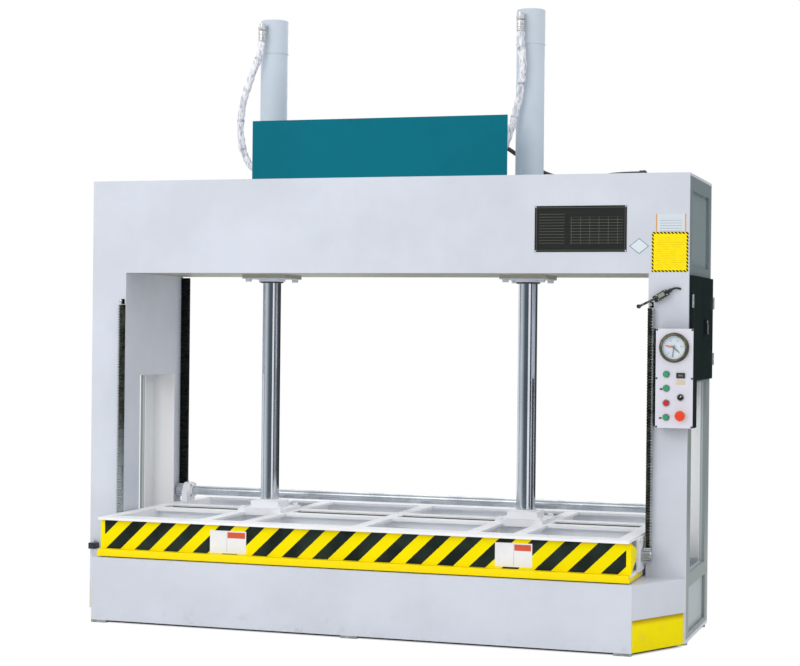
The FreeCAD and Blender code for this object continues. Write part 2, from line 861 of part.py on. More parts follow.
def conduit_fittings():
    """Gland on the motor's terminal box and the elbow through the beam's top."""
    x, y, z = conduit_start
    gland = rod(conduit_gland_radius, Vector(x - conduit_gland, y, z), conduit_gland, X_AXIS)
    x, y, z = conduit_end
    bend_x = x + conduit_reach
    elbow = rod(conduit_gland_radius, Vector(x, y, z), conduit_reach, X_AXIS)
    elbow = elbow.fuse(Part.makeSphere(conduit_ball, Vector(bend_x, y, z)))
    elbow = elbow.fuse(rod(conduit_gland_radius, Vector(bend_x, y, portal_height),
                           z - portal_height, Z_AXIS))
    elbow = elbow.fuse(rod(conduit_nut_radius, Vector(bend_x, y, portal_height),
                           conduit_nut, Z_AXIS))
    return gland, elbow


# Electric cabinet with two leaves
def cabinet_body():
    x0 = half_width - cabinet_depth
    inside = half_cabinet - cabinet_sheet
    shell = box(x0, half_width, -half_cabinet, half_cabinet, cabinet_bottom, cabinet_top)
    return shell.cut(box(x0 + cabinet_sheet, half_width, -inside, inside,
                         cabinet_bottom + cabinet_sheet, cabinet_top - cabinet_sheet))


def mounting_plate():
    back = half_width - cabinet_depth + cabinet_sheet
    x0 = back + mounting_standoff
    x1 = x0 + mounting_sheet
    half = half_cabinet - mounting_inset
    plate = box(x0, x1, -half, half, cabinet_bottom + mounting_inset, cabinet_top - mounting_inset)
    for y in (-half_cabinet + standoff_inset, half_cabinet - standoff_inset):
        for z in (cabinet_bottom + standoff_inset, cabinet_top - standoff_inset):
            plate = plate.fuse(rod(standoff_radius, Vector(back, y, z), mounting_standoff, X_AXIS))
    for height in rail_heights:
        z = cabinet_bottom + height
        plate = plate.fuse(box(x1, x1 + rail_thickness, -half_cabinet + rail_inset,
                               half_cabinet - rail_inset, z, z + rail_width))
    return plate


def cabinet_door(side):
    """Pan-shaped leaf; side -1 is the front leaf, +1 the rear one, which carries the handle."""
    x0 = half_width + door_seal
    x1 = half_width + door_thickness
    low = cabinet_bottom - door_overlap
    high = cabinet_top + door_overlap
    y0, y1 = sorted((side * door_gap / 2, side * (half_cabinet + door_overlap)))
    leaf = box(x0, x1, y0, y1, low, high)
    leaf = leaf.cut(box(x0, x1 - cabinet_sheet, y0 + cabinet_sheet, y1 - cabinet_sheet,
                        low + cabinet_sheet, high - cabinet_sheet))
    if side > 0:
        z = (low + high) / 2 + handle_rise - handle_length / 2
        plate_x = x1 + handle_plate
        leaf = leaf.fuse(box(x1, plate_x, handle_offset, handle_offset + handle_width,
                             z, z + handle_length))
        leaf = leaf.fuse(box(plate_x, x1 + handle_height, handle_offset + handle_inset,
                             handle_offset + handle_width - handle_inset,
                             z + handle_inset, z + handle_length - handle_inset))
    return leaf


# Control box, gauge and buttons
def control_box():
    y0 = -half_depth - box_depth
    shell = box(box_left, box_left + box_width, y0, -half_depth, box_bottom, box_top)
    return shell.cut(box(box_left + box_sheet, box_left + box_width - box_sheet, y0,
                         -half_depth - box_sheet, box_bottom + box_sheet, box_top - box_sheet))


def front_rod(x, z, radius, back, front):
    """Round piece on the panel, from back to front, both measured out of its face."""
    return rod(radius, Vector(x, panel_face - front, z), front - back, Y_AXIS)


def control_panel():
    panel = box(box_left, box_left + box_width, panel_face, panel_face + panel_sheet,
                box_bottom, box_top)
    for x, z in button_places():
        panel = panel.cut(front_rod(x, z, button_radius + button_gap, -panel_sheet, 0))
    return panel


def button_places():
    places = [(button_x, box_bottom + rise) for _, rise in button_rises]
    return places + [(second_x, knob_z), (second_x, stop_z)]


def button_bezels():
    rings = []
    for x, z in button_places():
        ring = front_rod(x, z, bezel_radius, 0, bezel_height)
        rings.append(ring.cut(front_rod(x, z, button_radius + button_gap, 0, bezel_height)))
    return rings


def rounded_front(shape, front, radius):
    rim = [e for e in shape.Edges if abs(e.BoundBox.YMax - (panel_face - front)) < 0.1]
    return shape.makeFillet(radius, rim)


def push_button(rise):
    cap = front_rod(button_x, box_bottom + rise, button_radius, -panel_sheet, button_height)
    return rounded_front(cap, button_height, button_fillet)


def stop_button():
    back = bezel_height + stop_stand
    front = back + stop_height
    stem = front_rod(second_x, stop_z, button_radius, -panel_sheet, back)
    head = front_rod(second_x, stop_z, stop_radius, back, front)
    return stem.fuse(rounded_front(head, front, stop_fillet))


def selector_knob():
    stem = front_rod(second_x, knob_z, button_radius, -panel_sheet, knob_base)
    grip = box(second_x - knob_grip / 2, second_x + knob_grip / 2, panel_face - knob_height,
               panel_face - knob_base, knob_z - button_radius, knob_z + button_radius)
    return stem.fuse(grip.rotate(Vector(second_x, panel_face, knob_z), Y_AXIS, knob_angle))


def gauge_case():
    body_radius = gauge_radius - gauge_rim
    ring = front_rod(gauge_x, gauge_z, gauge_radius, 0, gauge_rim)
    ring = ring.fuse(front_rod(gauge_x, gauge_z, body_radius, gauge_rim, gauge_height))
    return ring.cut(front_rod(gauge_x, gauge_z, gauge_radius - gauge_wall, dial_seat, gauge_height))


def gauge_dial():
    return front_rod(gauge_x, gauge_z, gauge_radius - gauge_wall - dial_gap,
                     dial_seat, dial_seat + dial_thickness)


def counter_display():
    return box(second_x - display_width / 2, second_x + display_width / 2,
               panel_face - display_proud, panel_face, display_z, display_z + display_height)


# Limit switches
def limit_switches():
    y0 = -half_depth - switch_depth
    half = switch_length / 2
    body = box(switch_x - half, switch_x + half, y0, -half_depth,
               switch_z - switch_width / 2, switch_z + switch_width / 2)
    neck = rod(cable_neck_radius, Vector(switch_x + half, -half_depth - switch_depth / 2, switch_z),
               cable_neck, X_AXIS)
    upper = body.fuse(neck).rotate(Vector(switch_x, 0, switch_z), Y_AXIS, -switch_tilt)
    pivot = lever_pivot()
    upper = upper.fuse(rod(pin_radius, Vector(pivot.x, lever_front - pin_head, pivot.z),
                           y0 - lever_front + pin_head, Y_AXIS))
    x0 = -half_width + lower_switch_edge
    lower = box(x0, x0 + lower_switch_width, -half_depth - lower_switch_depth, -half_depth,
                table_top, table_top + lower_switch_height)
    return upper, lower


def lever_pivot():
    angle = math.radians(switch_tilt)
    reach = switch_length / 2 - pivot_inset
    return Vector(switch_x - reach * math.cos(angle), 0, switch_z - reach * math.sin(angle))


def limit_lever():
    pivot = lever_pivot()
    hub = rod(hub_radius, Vector(pivot.x, lever_front, pivot.z), lever_plate, Y_AXIS)
    arm = box(pivot.x - lever_length, pivot.x, lever_front, lever_back,
              pivot.z - lever_width / 2, pivot.z + lever_width / 2)
    roller = rod(roller_radius, Vector(pivot.x - lever_length, lever_front - roller_stand, pivot.z),
                 roller_stand + lever_plate, Y_AXIS)
    hole = rod(pin_radius + pin_gap, Vector(pivot.x, lever_front, pivot.z), lever_plate, Y_AXIS)
    lever = hub.fuse(arm).fuse(roller).cut(hole)
    return lever.rotate(Vector(pivot.x, 0, pivot.z), Y_AXIS, -lever_angle)


save("portal_front_plate", portal_plate(-half_depth))
save("portal_rear_plate", portal_plate(plate_inside))
save("right_column_inner_wall", column_inner_wall())
save("left_column_inner_wall", flipped(column_inner_wall()))
save("right_column_outer_wall", column_outer_wall(True))
save("left_column_outer_wall", flipped(column_outer_wall(False)))
save("beam_bottom_plate", beam_cover(half_clear, beam_bottom))
save("beam_top_plate", beam_cover(half_width, portal_height - beam_plate))
save("base_skirts", *base_skirts())
save("corner_kick_plates", *kick_plates())
save("table_plate", table())
save("base_ribs", *base_ribs())
save("column_foot_plates", *column_foot_plates())
save("foot_pads", *foot_pads())

save("platen_plate", notched(box(-half_platen, half_platen, -half_platen_depth, half_platen_depth,
                                 platen_bottom, beam_floor), platen_bottom, beam_floor))
save("platen_long_beams", *long_beams())
save("platen_cross_beams", *cross_beams())
save("platen_end_channels", *end_channels())
save("striped_cover", striped_cover())
save("rod_feet", *rod_feet())
save("piston_rods", *piston_rods())
save("shaft_bearings", *shaft_bearings())
save("front_levelling_shaft", levelling_shaft(front_shaft_y, front_shaft_z, front_rack_x,
                                              front_rack_width + front_pinion_margin,
                                              front_rack_x + front_shaft_overrun))
save("rear_levelling_shaft", levelling_shaft(rear_shaft_y, rear_shaft_z,
                                             rear_rack_x - rear_pinion_shift, rear_pinion_width,
                                             rear_rack_x + rear_shaft_overrun))

save("cylinder_barrels", *both_sides(cylinder_barrel()))
save("cylinder_flanges", *both_sides(cylinder_flange()))
save("front_racks", *both_sides(rack(front_rack_x - front_rack_width / 2, front_rack_width,
                                     -half_depth, front_rack_thickness,
                                     front_rack_bottom, front_rack_top, front_shaft_z)))
save("rear_racks", *both_sides(rack(rear_rack_x - rear_rack_width / 2, rear_rack_width,
                                    half_depth, rear_rack_thickness,
                                    rear_rack_bottom, rear_rack_top, rear_shaft_z)))

save("pump_cover_panel", cover_panel())
save("oil_tank", oil_tank())
save("pump_motor", pump_motor())
save("valve_manifold", valve_manifold())
save("hose_fittings", *hose_fittings())
save("left_cylinder_hose", left_hose())
save("right_cylinder_hose", right_hose())
save("motor_conduit", motor_conduit())
save("conduit_fittings", *conduit_fittings())

save("cabinet_body", cabinet_body())
save("cabinet_mounting_plate", mounting_plate())
save("cabinet_front_door", cabinet_door(-1))
save("cabinet_rear_door", cabinet_door(1))

save("control_box", control_box())
save("control_panel", control_panel())
save("button_bezels", *button_bezels())
for name, rise in button_rises:
    save(name, push_button(rise))
save("stop_button", stop_button())
save("selector_knob", selector_knob())
save("gauge_case", gauge_case())
save("gauge_dial", gauge_dial())
save("counter_display", counter_display())
save("limit_switches", *limit_switches())
save("limit_switch_lever", limit_lever())
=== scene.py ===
import bmesh
import bpy
import math
from mathutils import Matrix, Vector


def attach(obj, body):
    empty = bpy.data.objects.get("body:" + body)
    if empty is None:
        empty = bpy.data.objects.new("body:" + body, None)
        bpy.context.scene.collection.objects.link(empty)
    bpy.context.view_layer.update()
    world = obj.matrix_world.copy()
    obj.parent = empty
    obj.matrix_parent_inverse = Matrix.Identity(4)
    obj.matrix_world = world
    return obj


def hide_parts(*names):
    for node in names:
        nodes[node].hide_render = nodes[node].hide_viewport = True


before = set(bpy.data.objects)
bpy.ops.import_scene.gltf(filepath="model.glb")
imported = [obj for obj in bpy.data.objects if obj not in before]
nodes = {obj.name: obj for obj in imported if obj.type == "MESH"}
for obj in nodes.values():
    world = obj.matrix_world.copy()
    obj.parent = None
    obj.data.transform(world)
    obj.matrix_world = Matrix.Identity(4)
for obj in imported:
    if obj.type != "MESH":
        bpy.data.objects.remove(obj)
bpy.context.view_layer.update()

scene = bpy.context.scene

# Camera
# Stands to the right of the machine at chest height, square on to the wall behind.
# The lens is a short telephoto, so the uprights stay nearly parallel.
camera = bpy.data.objects.new("camera", bpy.data.cameras.new("camera"))
scene.collection.objects.link(camera)
camera.location = (2.6769, -8.2976, 1.3610)
camera.rotation_euler = (1.568896, -0.0108, 0.310321)
camera.data.sensor_width = 36.0
camera.data.lens = 82.96
scene.camera = camera
scene.view_settings.view_transform = "Standard"


def shade(color):
    """A colour as a screen shows it, 0 to 255, as the shader takes it."""
    parts = [c / 255 for c in color]
    return tuple(c / 12.92 if c < 0.04045 else ((c + 0.055) / 1.055) ** 2.4 for c in parts)


class Value:
    """A number or colour that changes over a surface, for use in ordinary sums."""

    def __init__(self, finish, socket):
        self.finish = finish
        self.socket = socket

    def sum(self, operation, first, second):
        return self.finish.node("ShaderNodeMath", {"operation": operation}, {0: first, 1: second})

    def __add__(self, other):
        return self.sum("ADD", self, other)

    def __radd__(self, other):
        return self.sum("ADD", other, self)

    def __sub__(self, other):
        return self.sum("SUBTRACT", self, other)

    def __rsub__(self, other):
        return self.sum("SUBTRACT", other, self)

    def __mul__(self, other):
        return self.sum("MULTIPLY", self, other)

    def __rmul__(self, other):
        return self.sum("MULTIPLY", other, self)

    def __truediv__(self, other):
        return self.sum("DIVIDE", self, other)

    def __mod__(self, other):
        return self.sum("FLOORED_MODULO", self, other)

    def __gt__(self, other):
        return self.sum("GREATER_THAN", self, other)

    def __lt__(self, other):
        return self.sum("LESS_THAN", self, other)

    def __abs__(self):
        return self.sum("ABSOLUTE", self, 0.0)

    def larger(self, other):
        return self.sum("MAXIMUM", self, other)

    def step(self, start, end):
        """0 before start, 1 after end and a soft edge between them."""
        return self.finish.node("ShaderNodeMapRange", {"interpolation_type": "SMOOTHSTEP"},
                                {"Value": self, "From Min": start, "From Max": end})

    def within(self, low, high):
        """1 between low and high, 0 outside."""
        return (self > low) * (self < high)


class Finish:
    """A paint, metal or plastic: one Principled shader and the nodes that feed it."""

    def __init__(self, name, slot, color, roughness, **constants):
        self.slot = slot
        self.material = bpy.data.materials.new(name)
        self.material.use_nodes = True
        self.tree = self.material.node_tree
        self.shader = self.tree.nodes["Principled BSDF"]
        self.set(Base_Color=(*shade(color), 1.0), Roughness=roughness, **constants)
        self.place = self.node("ShaderNodeTexCoord", out="Object")
        self.x, self.y, self.z = self.split(self.place)

    def node(self, kind, settings=None, sockets=None, out=0):
        """Adds a node, makes its settings, then fills its sockets."""
        new = self.tree.nodes.new(kind)
        for key, value in (settings or {}).items():
            setattr(new, key, value)
        for key, value in (sockets or {}).items():
            if isinstance(value, Value):
                self.tree.links.new(value.socket, new.inputs[key])
            else:
                new.inputs[key].default_value = value
        return Value(self, new.outputs[out])

    def split(self, vector):
        """The three parts of a place or direction."""
        first = self.node("ShaderNodeSeparateXYZ", None, {0: vector})
        outputs = first.socket.node.outputs
        return [Value(self, outputs[i]) for i in range(3)]

    def noise(self, scale, detail=3.0, roughness=0.5, place=None):
        return self.node("ShaderNodeTexNoise", {"normalize": True},
                         {"Vector": place or self.place, "Scale": scale, "Detail": detail,
                          "Roughness": roughness}, out="Fac")

    def cells(self, scale, feature="F1", place=None):
        return self.node("ShaderNodeTexVoronoi", {"feature": feature},
                         {"Vector": place or self.place, "Scale": scale}, out="Distance")

    def stretched(self, x, y, z):
        """Object coordinates squeezed or stretched along each axis."""
        return self.node("ShaderNodeMapping", None, {"Vector": self.place, "Scale": (x, y, z)})

    def mix(self, factor, first, second):
        """Colour first where factor is 0 and second where it is 1."""
        both = [c if isinstance(c, Value) else (*shade(c), 1.0) for c in (first, second)]
        return self.node("ShaderNodeMix", {"data_type": "RGBA"},
                         {0: factor, 6: both[0], 7: both[1]}, out=2)

    def set(self, **sockets):
        """Fills the shader's own sockets; an underscore in a name stands for a space."""
        for key, value in sockets.items():
            socket = self.shader.inputs[key.replace("_", " ")]
            if isinstance(value, Value):
                self.tree.links.new(value.socket, socket)
            else:
                socket.default_value = value

    def bump(self, height, distance, strength=1.0):
        self.set(Normal=self.node("ShaderNodeBump", None, {"Height": height, "Distance": distance,
                                                           "Strength": strength}, out="Normal"))

    def paint(self, *names):
        """Gives this finish to CAD nodes."""
        for name in names:
            mesh = nodes[name].data
            mesh.materials.clear()
            mesh.materials.append(self.material)


def alone(piece):
    """Leaves only this piece selected and active."""
    bpy.ops.object.select_all(action="DESELECT")
    piece.select_set(True)
    bpy.context.view_layer.objects.active = piece


def settle(piece, name, finish, body="frame"):
    """Names a finished piece, fixes its place in its mesh, gives it its finish and its body."""
    alone(piece)
    bpy.ops.object.transform_apply(location=True, rotation=True, scale=True)
    piece.name = name
    piece.data.name = name
    piece.data.materials.clear()
    piece.data.materials.append(finish.material)
    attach(piece, body)
    return piece


# Hydraulic hoses
# Steel-braided hoses from the cylinder caps down to the valve block, wrapped in clear film.
# The film lies in long folds, is tied every hand's breadth and leaves the crimped ends bare.
film = Finish("wrapping_film", "wrapped_hose", (232, 234, 240), 0.3, Coat_Weight=0.2,
              Coat_Roughness=0.15)
creases = film.noise(34.0, 6.0, 0.7)
long_folds = film.noise(1.0, 5.0, 0.65, film.stretched(95.0, 95.0, 22.0))
film.set(Base_Color=film.mix(long_folds.step(0.34, 0.56), (164, 168, 180), (240, 241, 246)),
         Roughness=creases * 0.4 + 0.15)
film.bump(long_folds + creases, 0.005, 0.7)
tape = Finish("tie_band", "wrapped_hose", (150, 154, 164), 0.35)
tape.set(Base_Color=tape.mix(tape.noise(60.0).step(0.4, 0.6), (150, 154, 166), (206, 209, 217)))


def hose(name, points, diameter, finish, node):
    """One smooth line through the route, thick as the hose, which stands for its CAD solid."""
    curve = bpy.data.curves.new(name, "CURVE")
    curve.dimensions = "3D"
    curve.bevel_depth = diameter / 2
    curve.bevel_resolution = 6
    spline = curve.splines.new("NURBS")
    spline.points.add(len(points) - 1)
    for point, place in zip(spline.points, points):
        point.co = (place[0] / 1000, place[1] / 1000, place[2] / 1000, 1.0)
    spline.order_u = 3
    spline.use_endpoint_u = True
    spline.resolution_u = 8
    line = bpy.data.objects.new(name, curve)
    scene.collection.objects.link(line)
    curve.materials.append(finish.material)
    wraps = film_wrap(line) if finish is film else []
    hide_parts(node)
    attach(line, "frame")


def centreline(line):
    """Points along the hose, read from its own curve with no thickness."""
    bare = line.copy()
    bare.data = line.data.copy()
    bare.data.bevel_depth = 0.0
    scene.collection.objects.link(bare)
    bpy.context.view_layer.update()
    evaluated = bare.evaluated_get(bpy.context.evaluated_depsgraph_get())
    points = [v.co.copy() for v in bpy.data.meshes.new_from_object(evaluated).vertices]
    bpy.data.objects.remove(bare)
    return points


def sleeve(points, radii, sides=14):
    """A tube round a line of points, its ends open or drawn in by the radii given."""
    mesh = bmesh.new()
    rings = []
    side = Vector((0, 1, 0))
    for i, point in enumerate(points):
        ahead = (points[min(i + 1, len(points) - 1)] - points[max(i - 1, 0)]).normalized()
        side = (side - ahead * side.dot(ahead)).normalized()
        across = ahead.cross(side)
        turns = [2 * math.pi * k / sides for k in range(sides)]
        rings.append([mesh.verts.new(point + (side * math.cos(a) + across * math.sin(a)) * radii[i])
                      for a in turns])
    for low, high in zip(rings, rings[1:]):
        for k in range(sides):
            mesh.faces.new((low[k], low[(k + 1) % sides], high[(k + 1) % sides], high[k]))
    mesh.faces.new(rings[0])
    mesh.faces.new(reversed(rings[-1]))
    bmesh.ops.recalc_face_normals(mesh, faces=mesh.faces)
    data = bpy.data.meshes.new("sleeve")
    mesh.to_mesh(data)
    mesh.free()
    piece = bpy.data.objects.new("sleeve", data)
    scene.collection.objects.link(piece)
    alone(piece)
    bpy.ops.object.shade_smooth_by_angle(angle=math.radians(50))
    return piece


def finer(points, gap):
    """The same line with points a small gap apart."""
    result = []
    for start, end in zip(points, points[1:]):
        count = max(1, round((end - start).length / gap))
        result += [start.lerp(end, i / count) for i in range(count)]
    return result + [points[-1]]


def film_wrap(line):
    """Crinkled film round the hose, with a tie band every 150 mm."""
    points = finer(centreline(line), 0.006)
    wrapped = points[9:-9]
    radii = [0.0158 + 0.0012 * math.sin(i * 0.9) + 0.0009 * math.sin(i * 0.37 + 1.3)
             for i in range(len(wrapped))]
    for i in range(0, len(wrapped), 25):
        for j, squeeze in ((-1, 0.5), (0, 1.0), (1, 0.5)):
            if 0 <= i + j < len(radii):
                radii[i + j] += (0.0155 - radii[i + j]) * squeeze
    wrap = sleeve(wrapped, radii, 24)
    bpy.ops.object.modifier_add(type="DISPLACE")
    crinkle = bpy.data.textures.new("crinkle", "CLOUDS")
    crinkle.noise_scale = 0.034
    crinkle.noise_depth = 2
    wrap.modifiers[-1].texture = crinkle
    wrap.modifiers[-1].strength = 0.010
    wrap.modifiers[-1].mid_level = 0.42
    bpy.ops.object.modifier_apply(modifier=wrap.modifiers[-1].name)
    settle(wrap, line.name + "_film", film)
    bands = [sleeve(wrapped[i:i + 3], [0.0178, 0.0184, 0.0178]) for i in range(12, len(wrapped) - 3, 25)]
    return [wrap, joined(bands, line.name + "_ties", tape)]


def joined(pieces, name, finish, body="frame"):
    """Several like meshes made one piece."""
    bpy.ops.object.select_all(action="DESELECT")
    for piece in pieces:
        piece.select_set(True)
    bpy.context.view_layer.objects.active = pieces[0]
    if len(pieces) > 1:
        bpy.ops.object.join()
    return settle(pieces[0], name, finish, body)


left_route = [(-661.88, -96.59, 2783), (-661.88, -96.59, 2695), (-700, -98, 2600),
              (-744, -90, 2500), (-772, -80, 2400), (-780, -72, 2300), (-764, -72, 2205),
              (-716, -80, 2130), (-640, -96, 2088), (-545, -112, 2078), (-430, -128, 2088),
              (-315, -142, 2104), (-200, -150, 2110), (-76, -150, 2110)]
hose("left_hose", left_route, 0.030, film, "left_cylinder_hose")
right_route = [(610.12, -96.59, 2783), (610.12, -96.59, 2695), (628, -97, 2580), (616, -95, 2470),
               (592, -92, 2365), (566, -92, 2265), (526, -96, 2175), (462, -104, 2108),
               (375, -116, 2082), (275, -138, 2098), (175, -150, 2110), (76, -150, 2110)]
hose("right_hose", right_route, 0.030, film, "right_cylinder_hose")

# Motor cable
# Black corrugated conduit from the motor's terminal box to the elbow in the beam's top.
conduit = Finish("conduit", "black_plastic", (38, 40, 42), 0.45)
rings = conduit.noise(1.0, 2.0, 0.5, conduit.stretched(140.0, 30.0, 60.0))
conduit.set(Roughness=rings * 0.2 + 0.35, Base_Color=conduit.mix(rings, (30, 32, 34), (52, 54, 56)))
conduit.bump(rings, 0.002)
conduit_route = [(314, 100, 2262), (422, 100, 2262), (520, 112, 2210), (610, 122, 2136),
                 (710, 124, 2084), (820, 112, 2068), (930, 62, 2068), (1042, 0, 2081),
                 (1150, 0, 2081)]
hose("motor_cable", conduit_route, 0.020, conduit, "motor_conduit")
conduit.paint("conduit_fittings")

# Portal frame and base
# Folded and flat steel plate, welded, ground and sprayed with a pale blue-grey enamel.
# The base and the beam have the same coat; the table is its flat top.


def sprayed(name, slot, color, roughness=0.45, coat=0.02, shine=0.12):
    """Enamel from a spray gun: orange peel, slightly uneven tone, and dirt close to the floor."""
    paint = Finish(name, slot, color, roughness, Coat_Weight=coat, Coat_Roughness=0.25,
                   Specular_IOR_Level=shine)
    tone = paint.noise(2.3, 4.0, 0.6)
    smears = paint.noise(11.0, 6.0, 0.72)
    darker = tuple(c * 0.955 for c in color)
    coat_color = paint.mix(tone.step(0.3, 0.7), darker, color)
    soiled = smears.step(0.52, 0.75) * (1.0 - paint.z.step(0.0, 0.16)) * 0.35
    paint.color = paint.mix(soiled, coat_color, (150, 142, 128))
    paint.set(Base_Color=paint.color, Roughness=smears * 0.16 + (roughness - 0.08))
    paint.peel = paint.noise(330.0, 2.0)
    paint.bump(paint.peel, 0.0006, 0.35)
    return paint


enamel = sprayed("frame_enamel", "frame_paint", (211, 216, 227))
# Painted light: the insides of the columns are set near white, standing for light that comes in through
# their windows.
painted_light_inside_column = abs(enamel.x).within(1.2585, 1.420) * (abs(enamel.y) < 0.3205) * enamel.z.within(0.31, 2.04)
# Painted shade: an olive-grey strip on the beam's underside, where the beam's shadow falls.
painted_shade_under_beam = enamel.z.within(1.6, 1.6175) * (abs(enamel.x) < 1.2535)
color_with_painted_light = enamel.mix(painted_light_inside_column, enamel.color, (252, 253, 254))
enamel.set(Base_Color=enamel.mix(painted_shade_under_beam, color_with_painted_light, (166, 165, 152)))
enamel.paint("portal_front_plate", "portal_rear_plate", "right_column_inner_wall",
             "left_column_inner_wall", "beam_bottom_plate", "beam_top_plate", "base_skirts",
             "table_plate", "base_ribs", "column_foot_plates", "cylinder_flanges")
# Painted shade: the columns' outer walls are a darker grey-green for the side turned away from the light,
# and darker again towards the top.
painted_shade_side_enamel = sprayed("painted_shade_side_enamel", "frame_paint", (146, 156, 156))
outside = abs(painted_shade_side_enamel.x).step(1.405, 1.408)
painted_shade_upper_tone = painted_shade_side_enamel.mix(painted_shade_side_enamel.z.step(1.0, 1.7), painted_shade_side_enamel.color, (126, 138, 141))
# Painted light and shade in the recessed panel: lighter at the top and darker below.
recess = abs(painted_shade_side_enamel.x).within(1.410, 1.4175)
painted_light_panel_tone = painted_shade_side_enamel.mix(painted_shade_side_enamel.z > 1.5, (178, 187, 191), (134, 148, 151))
outer_tone = painted_shade_side_enamel.mix(recess, painted_shade_upper_tone, painted_light_panel_tone)
# Painted light: the walls' inner faces are set near white, standing for light through the windows.
painted_shade_side_enamel.set(Base_Color=painted_shade_side_enamel.mix(outside, (246, 248, 251), outer_tone))
painted_shade_side_enamel.paint("right_column_outer_wall", "left_column_outer_wall")


def weld(name, runs, width=0.005, body="frame", finish=enamel, closed=False):
    """A painted bead along each run of points, with a ripple every few millimetres."""
    beads = []
    for run in runs:
        corners = [Vector(p) for p in run]
        points = finer(corners + corners[:1] if closed else corners, 0.004)
        radii = [width * (0.5 if i % 2 else 0.62) for i in range(len(points))]
        beads.append(sleeve(points, radii, 6))
    return joined(beads, name, finish, body)


def ring_points(x, y, z, radius, count=48):
    turns = [2 * math.pi * k / count for k in range(count)]
    return [(x + radius * math.cos(a), y + radius * math.sin(a), z) for a in turns]


inner_face, outer_face, front_face = 1.2545, 1.430, -0.3245
beam_bottom, beam_top, table_top = 1.617, 2.055, 0.298
weld("beam_corner_welds", [[(s * inner_face, -0.31, beam_bottom), (s * inner_face, 0.31, beam_bottom)]
                           for s in (-1, 1)])
weld("table_welds", [[(s * 1.258, side * 0.3255, table_top), (s * 1.414, side * 0.3255, table_top)]
                     for s in (-1, 1) for side in (-1, 1)])
weld("skirt_welds", [[(s * 1.4270, side * 0.3255, 0.152), (s * 1.4270, side * 0.3255, 0.296)]
                     for s in (-1, 1) for side in (-1, 1)], 0.004)
weld("barrel_foot_welds", [ring_points(s * 0.636, 0.0, beam_top, 0.0665) for s in (-1, 1)], 0.007,
     closed=True)


def edit(piece, kind, picks, *steps):
    """Selects the faces or edges that the test picks and runs the edit-mode operators on them."""
    alone(piece)
    bpy.ops.object.mode_set(mode="EDIT")
    bpy.ops.mesh.select_mode(type=kind)
    bpy.ops.mesh.select_all(action="DESELECT")
    mesh = bmesh.from_edit_mesh(piece.data)
    for part in mesh.faces if kind == "FACE" else mesh.edges:
        if picks(part):
            part.select_set(True)
    bmesh.update_edit_mesh(piece.data)
    for operator, settings in steps:
        operator(**settings)
    bpy.ops.object.mode_set(mode="OBJECT")


def block(low, high, edge=0.001, segments=2):
    """A bar or plate between two corners with its edges broken."""
    bpy.ops.object.select_all(action="DESELECT")
    bpy.ops.mesh.primitive_cube_add(size=1.0, location=[(a + b) / 2 for a, b in zip(low, high)],
                                    scale=[b - a for a, b in zip(low, high)])
    piece = bpy.context.object
    bpy.ops.object.transform_apply(location=True, rotation=True, scale=True)
    return rounded(piece, edge, segments)


def rounded(piece, width, segments=2, angle=30):
    alone(piece)
    bpy.ops.object.modifier_add(type="BEVEL")
    bevel = piece.modifiers[-1]
    bevel.width = width
    bevel.segments = segments
    bevel.limit_method = "ANGLE"
    bevel.angle_limit = math.radians(angle)
    bpy.ops.object.modifier_apply(modifier=bevel.name)
    bpy.ops.object.shade_smooth_by_angle(angle=math.radians(40))
    return piece


def turned(profile, sides=32, bored=False):
    """A round piece drawn up along Z from a disc: pairs of height and radius, or bored to a ring."""
    bpy.ops.object.select_all(action="DESELECT")
    height, radius = profile[0]
    bpy.ops.mesh.primitive_circle_add(vertices=sides, radius=radius, fill_type="NGON",
                                      location=(0, 0, height))
    piece = bpy.context.object
    bpy.ops.object.transform_apply(location=True, rotation=True, scale=True)
    bpy.ops.object.mode_set(mode="EDIT")
    bpy.ops.mesh.select_all(action="SELECT")
    for (z0, r0), (z1, r1) in zip(profile, profile[1:]):
        bpy.ops.mesh.extrude_region_move(TRANSFORM_OT_translate={"value": (0, 0, z1 - z0)})
        bpy.ops.transform.resize(value=(r1 / r0, r1 / r0, 1), center_override=(0, 0, z1))
    bpy.ops.object.mode_set(mode="OBJECT")
    if bored:
        edit(piece, "FACE", lambda f: len(f.verts) == sides, (bpy.ops.mesh.delete, {"type": "FACE"}))
        edit(piece, "EDGE", lambda e: e.is_boundary, (bpy.ops.mesh.bridge_edge_loops, {}))
    edit(piece, "FACE", lambda f: True, (bpy.ops.mesh.normals_make_consistent, {"inside": False}))
    bpy.ops.object.shade_smooth_by_angle(angle=math.radians(35))
    return piece


def moved(piece, place, way=(0, 0, 1)):
    """Puts a piece modelled along Z at its place, its top facing the way given."""
    turn = Vector(way).to_track_quat("Z", "Y").to_matrix().to_4x4()
    piece.data.transform(Matrix.Translation(place) @ turn)
    return piece


def repeated(name, master, places, finish, body="frame"):
    """A copy of the master at each place and way it faces, joined into one piece."""
    copies = []
    for place, way in places:
        copy = bpy.data.objects.new(name, master.data.copy())
        scene.collection.objects.link(copy)
        copies.append(moved(copy, place, way))
    bpy.data.objects.remove(master)
    return joined(copies, name, finish, body)


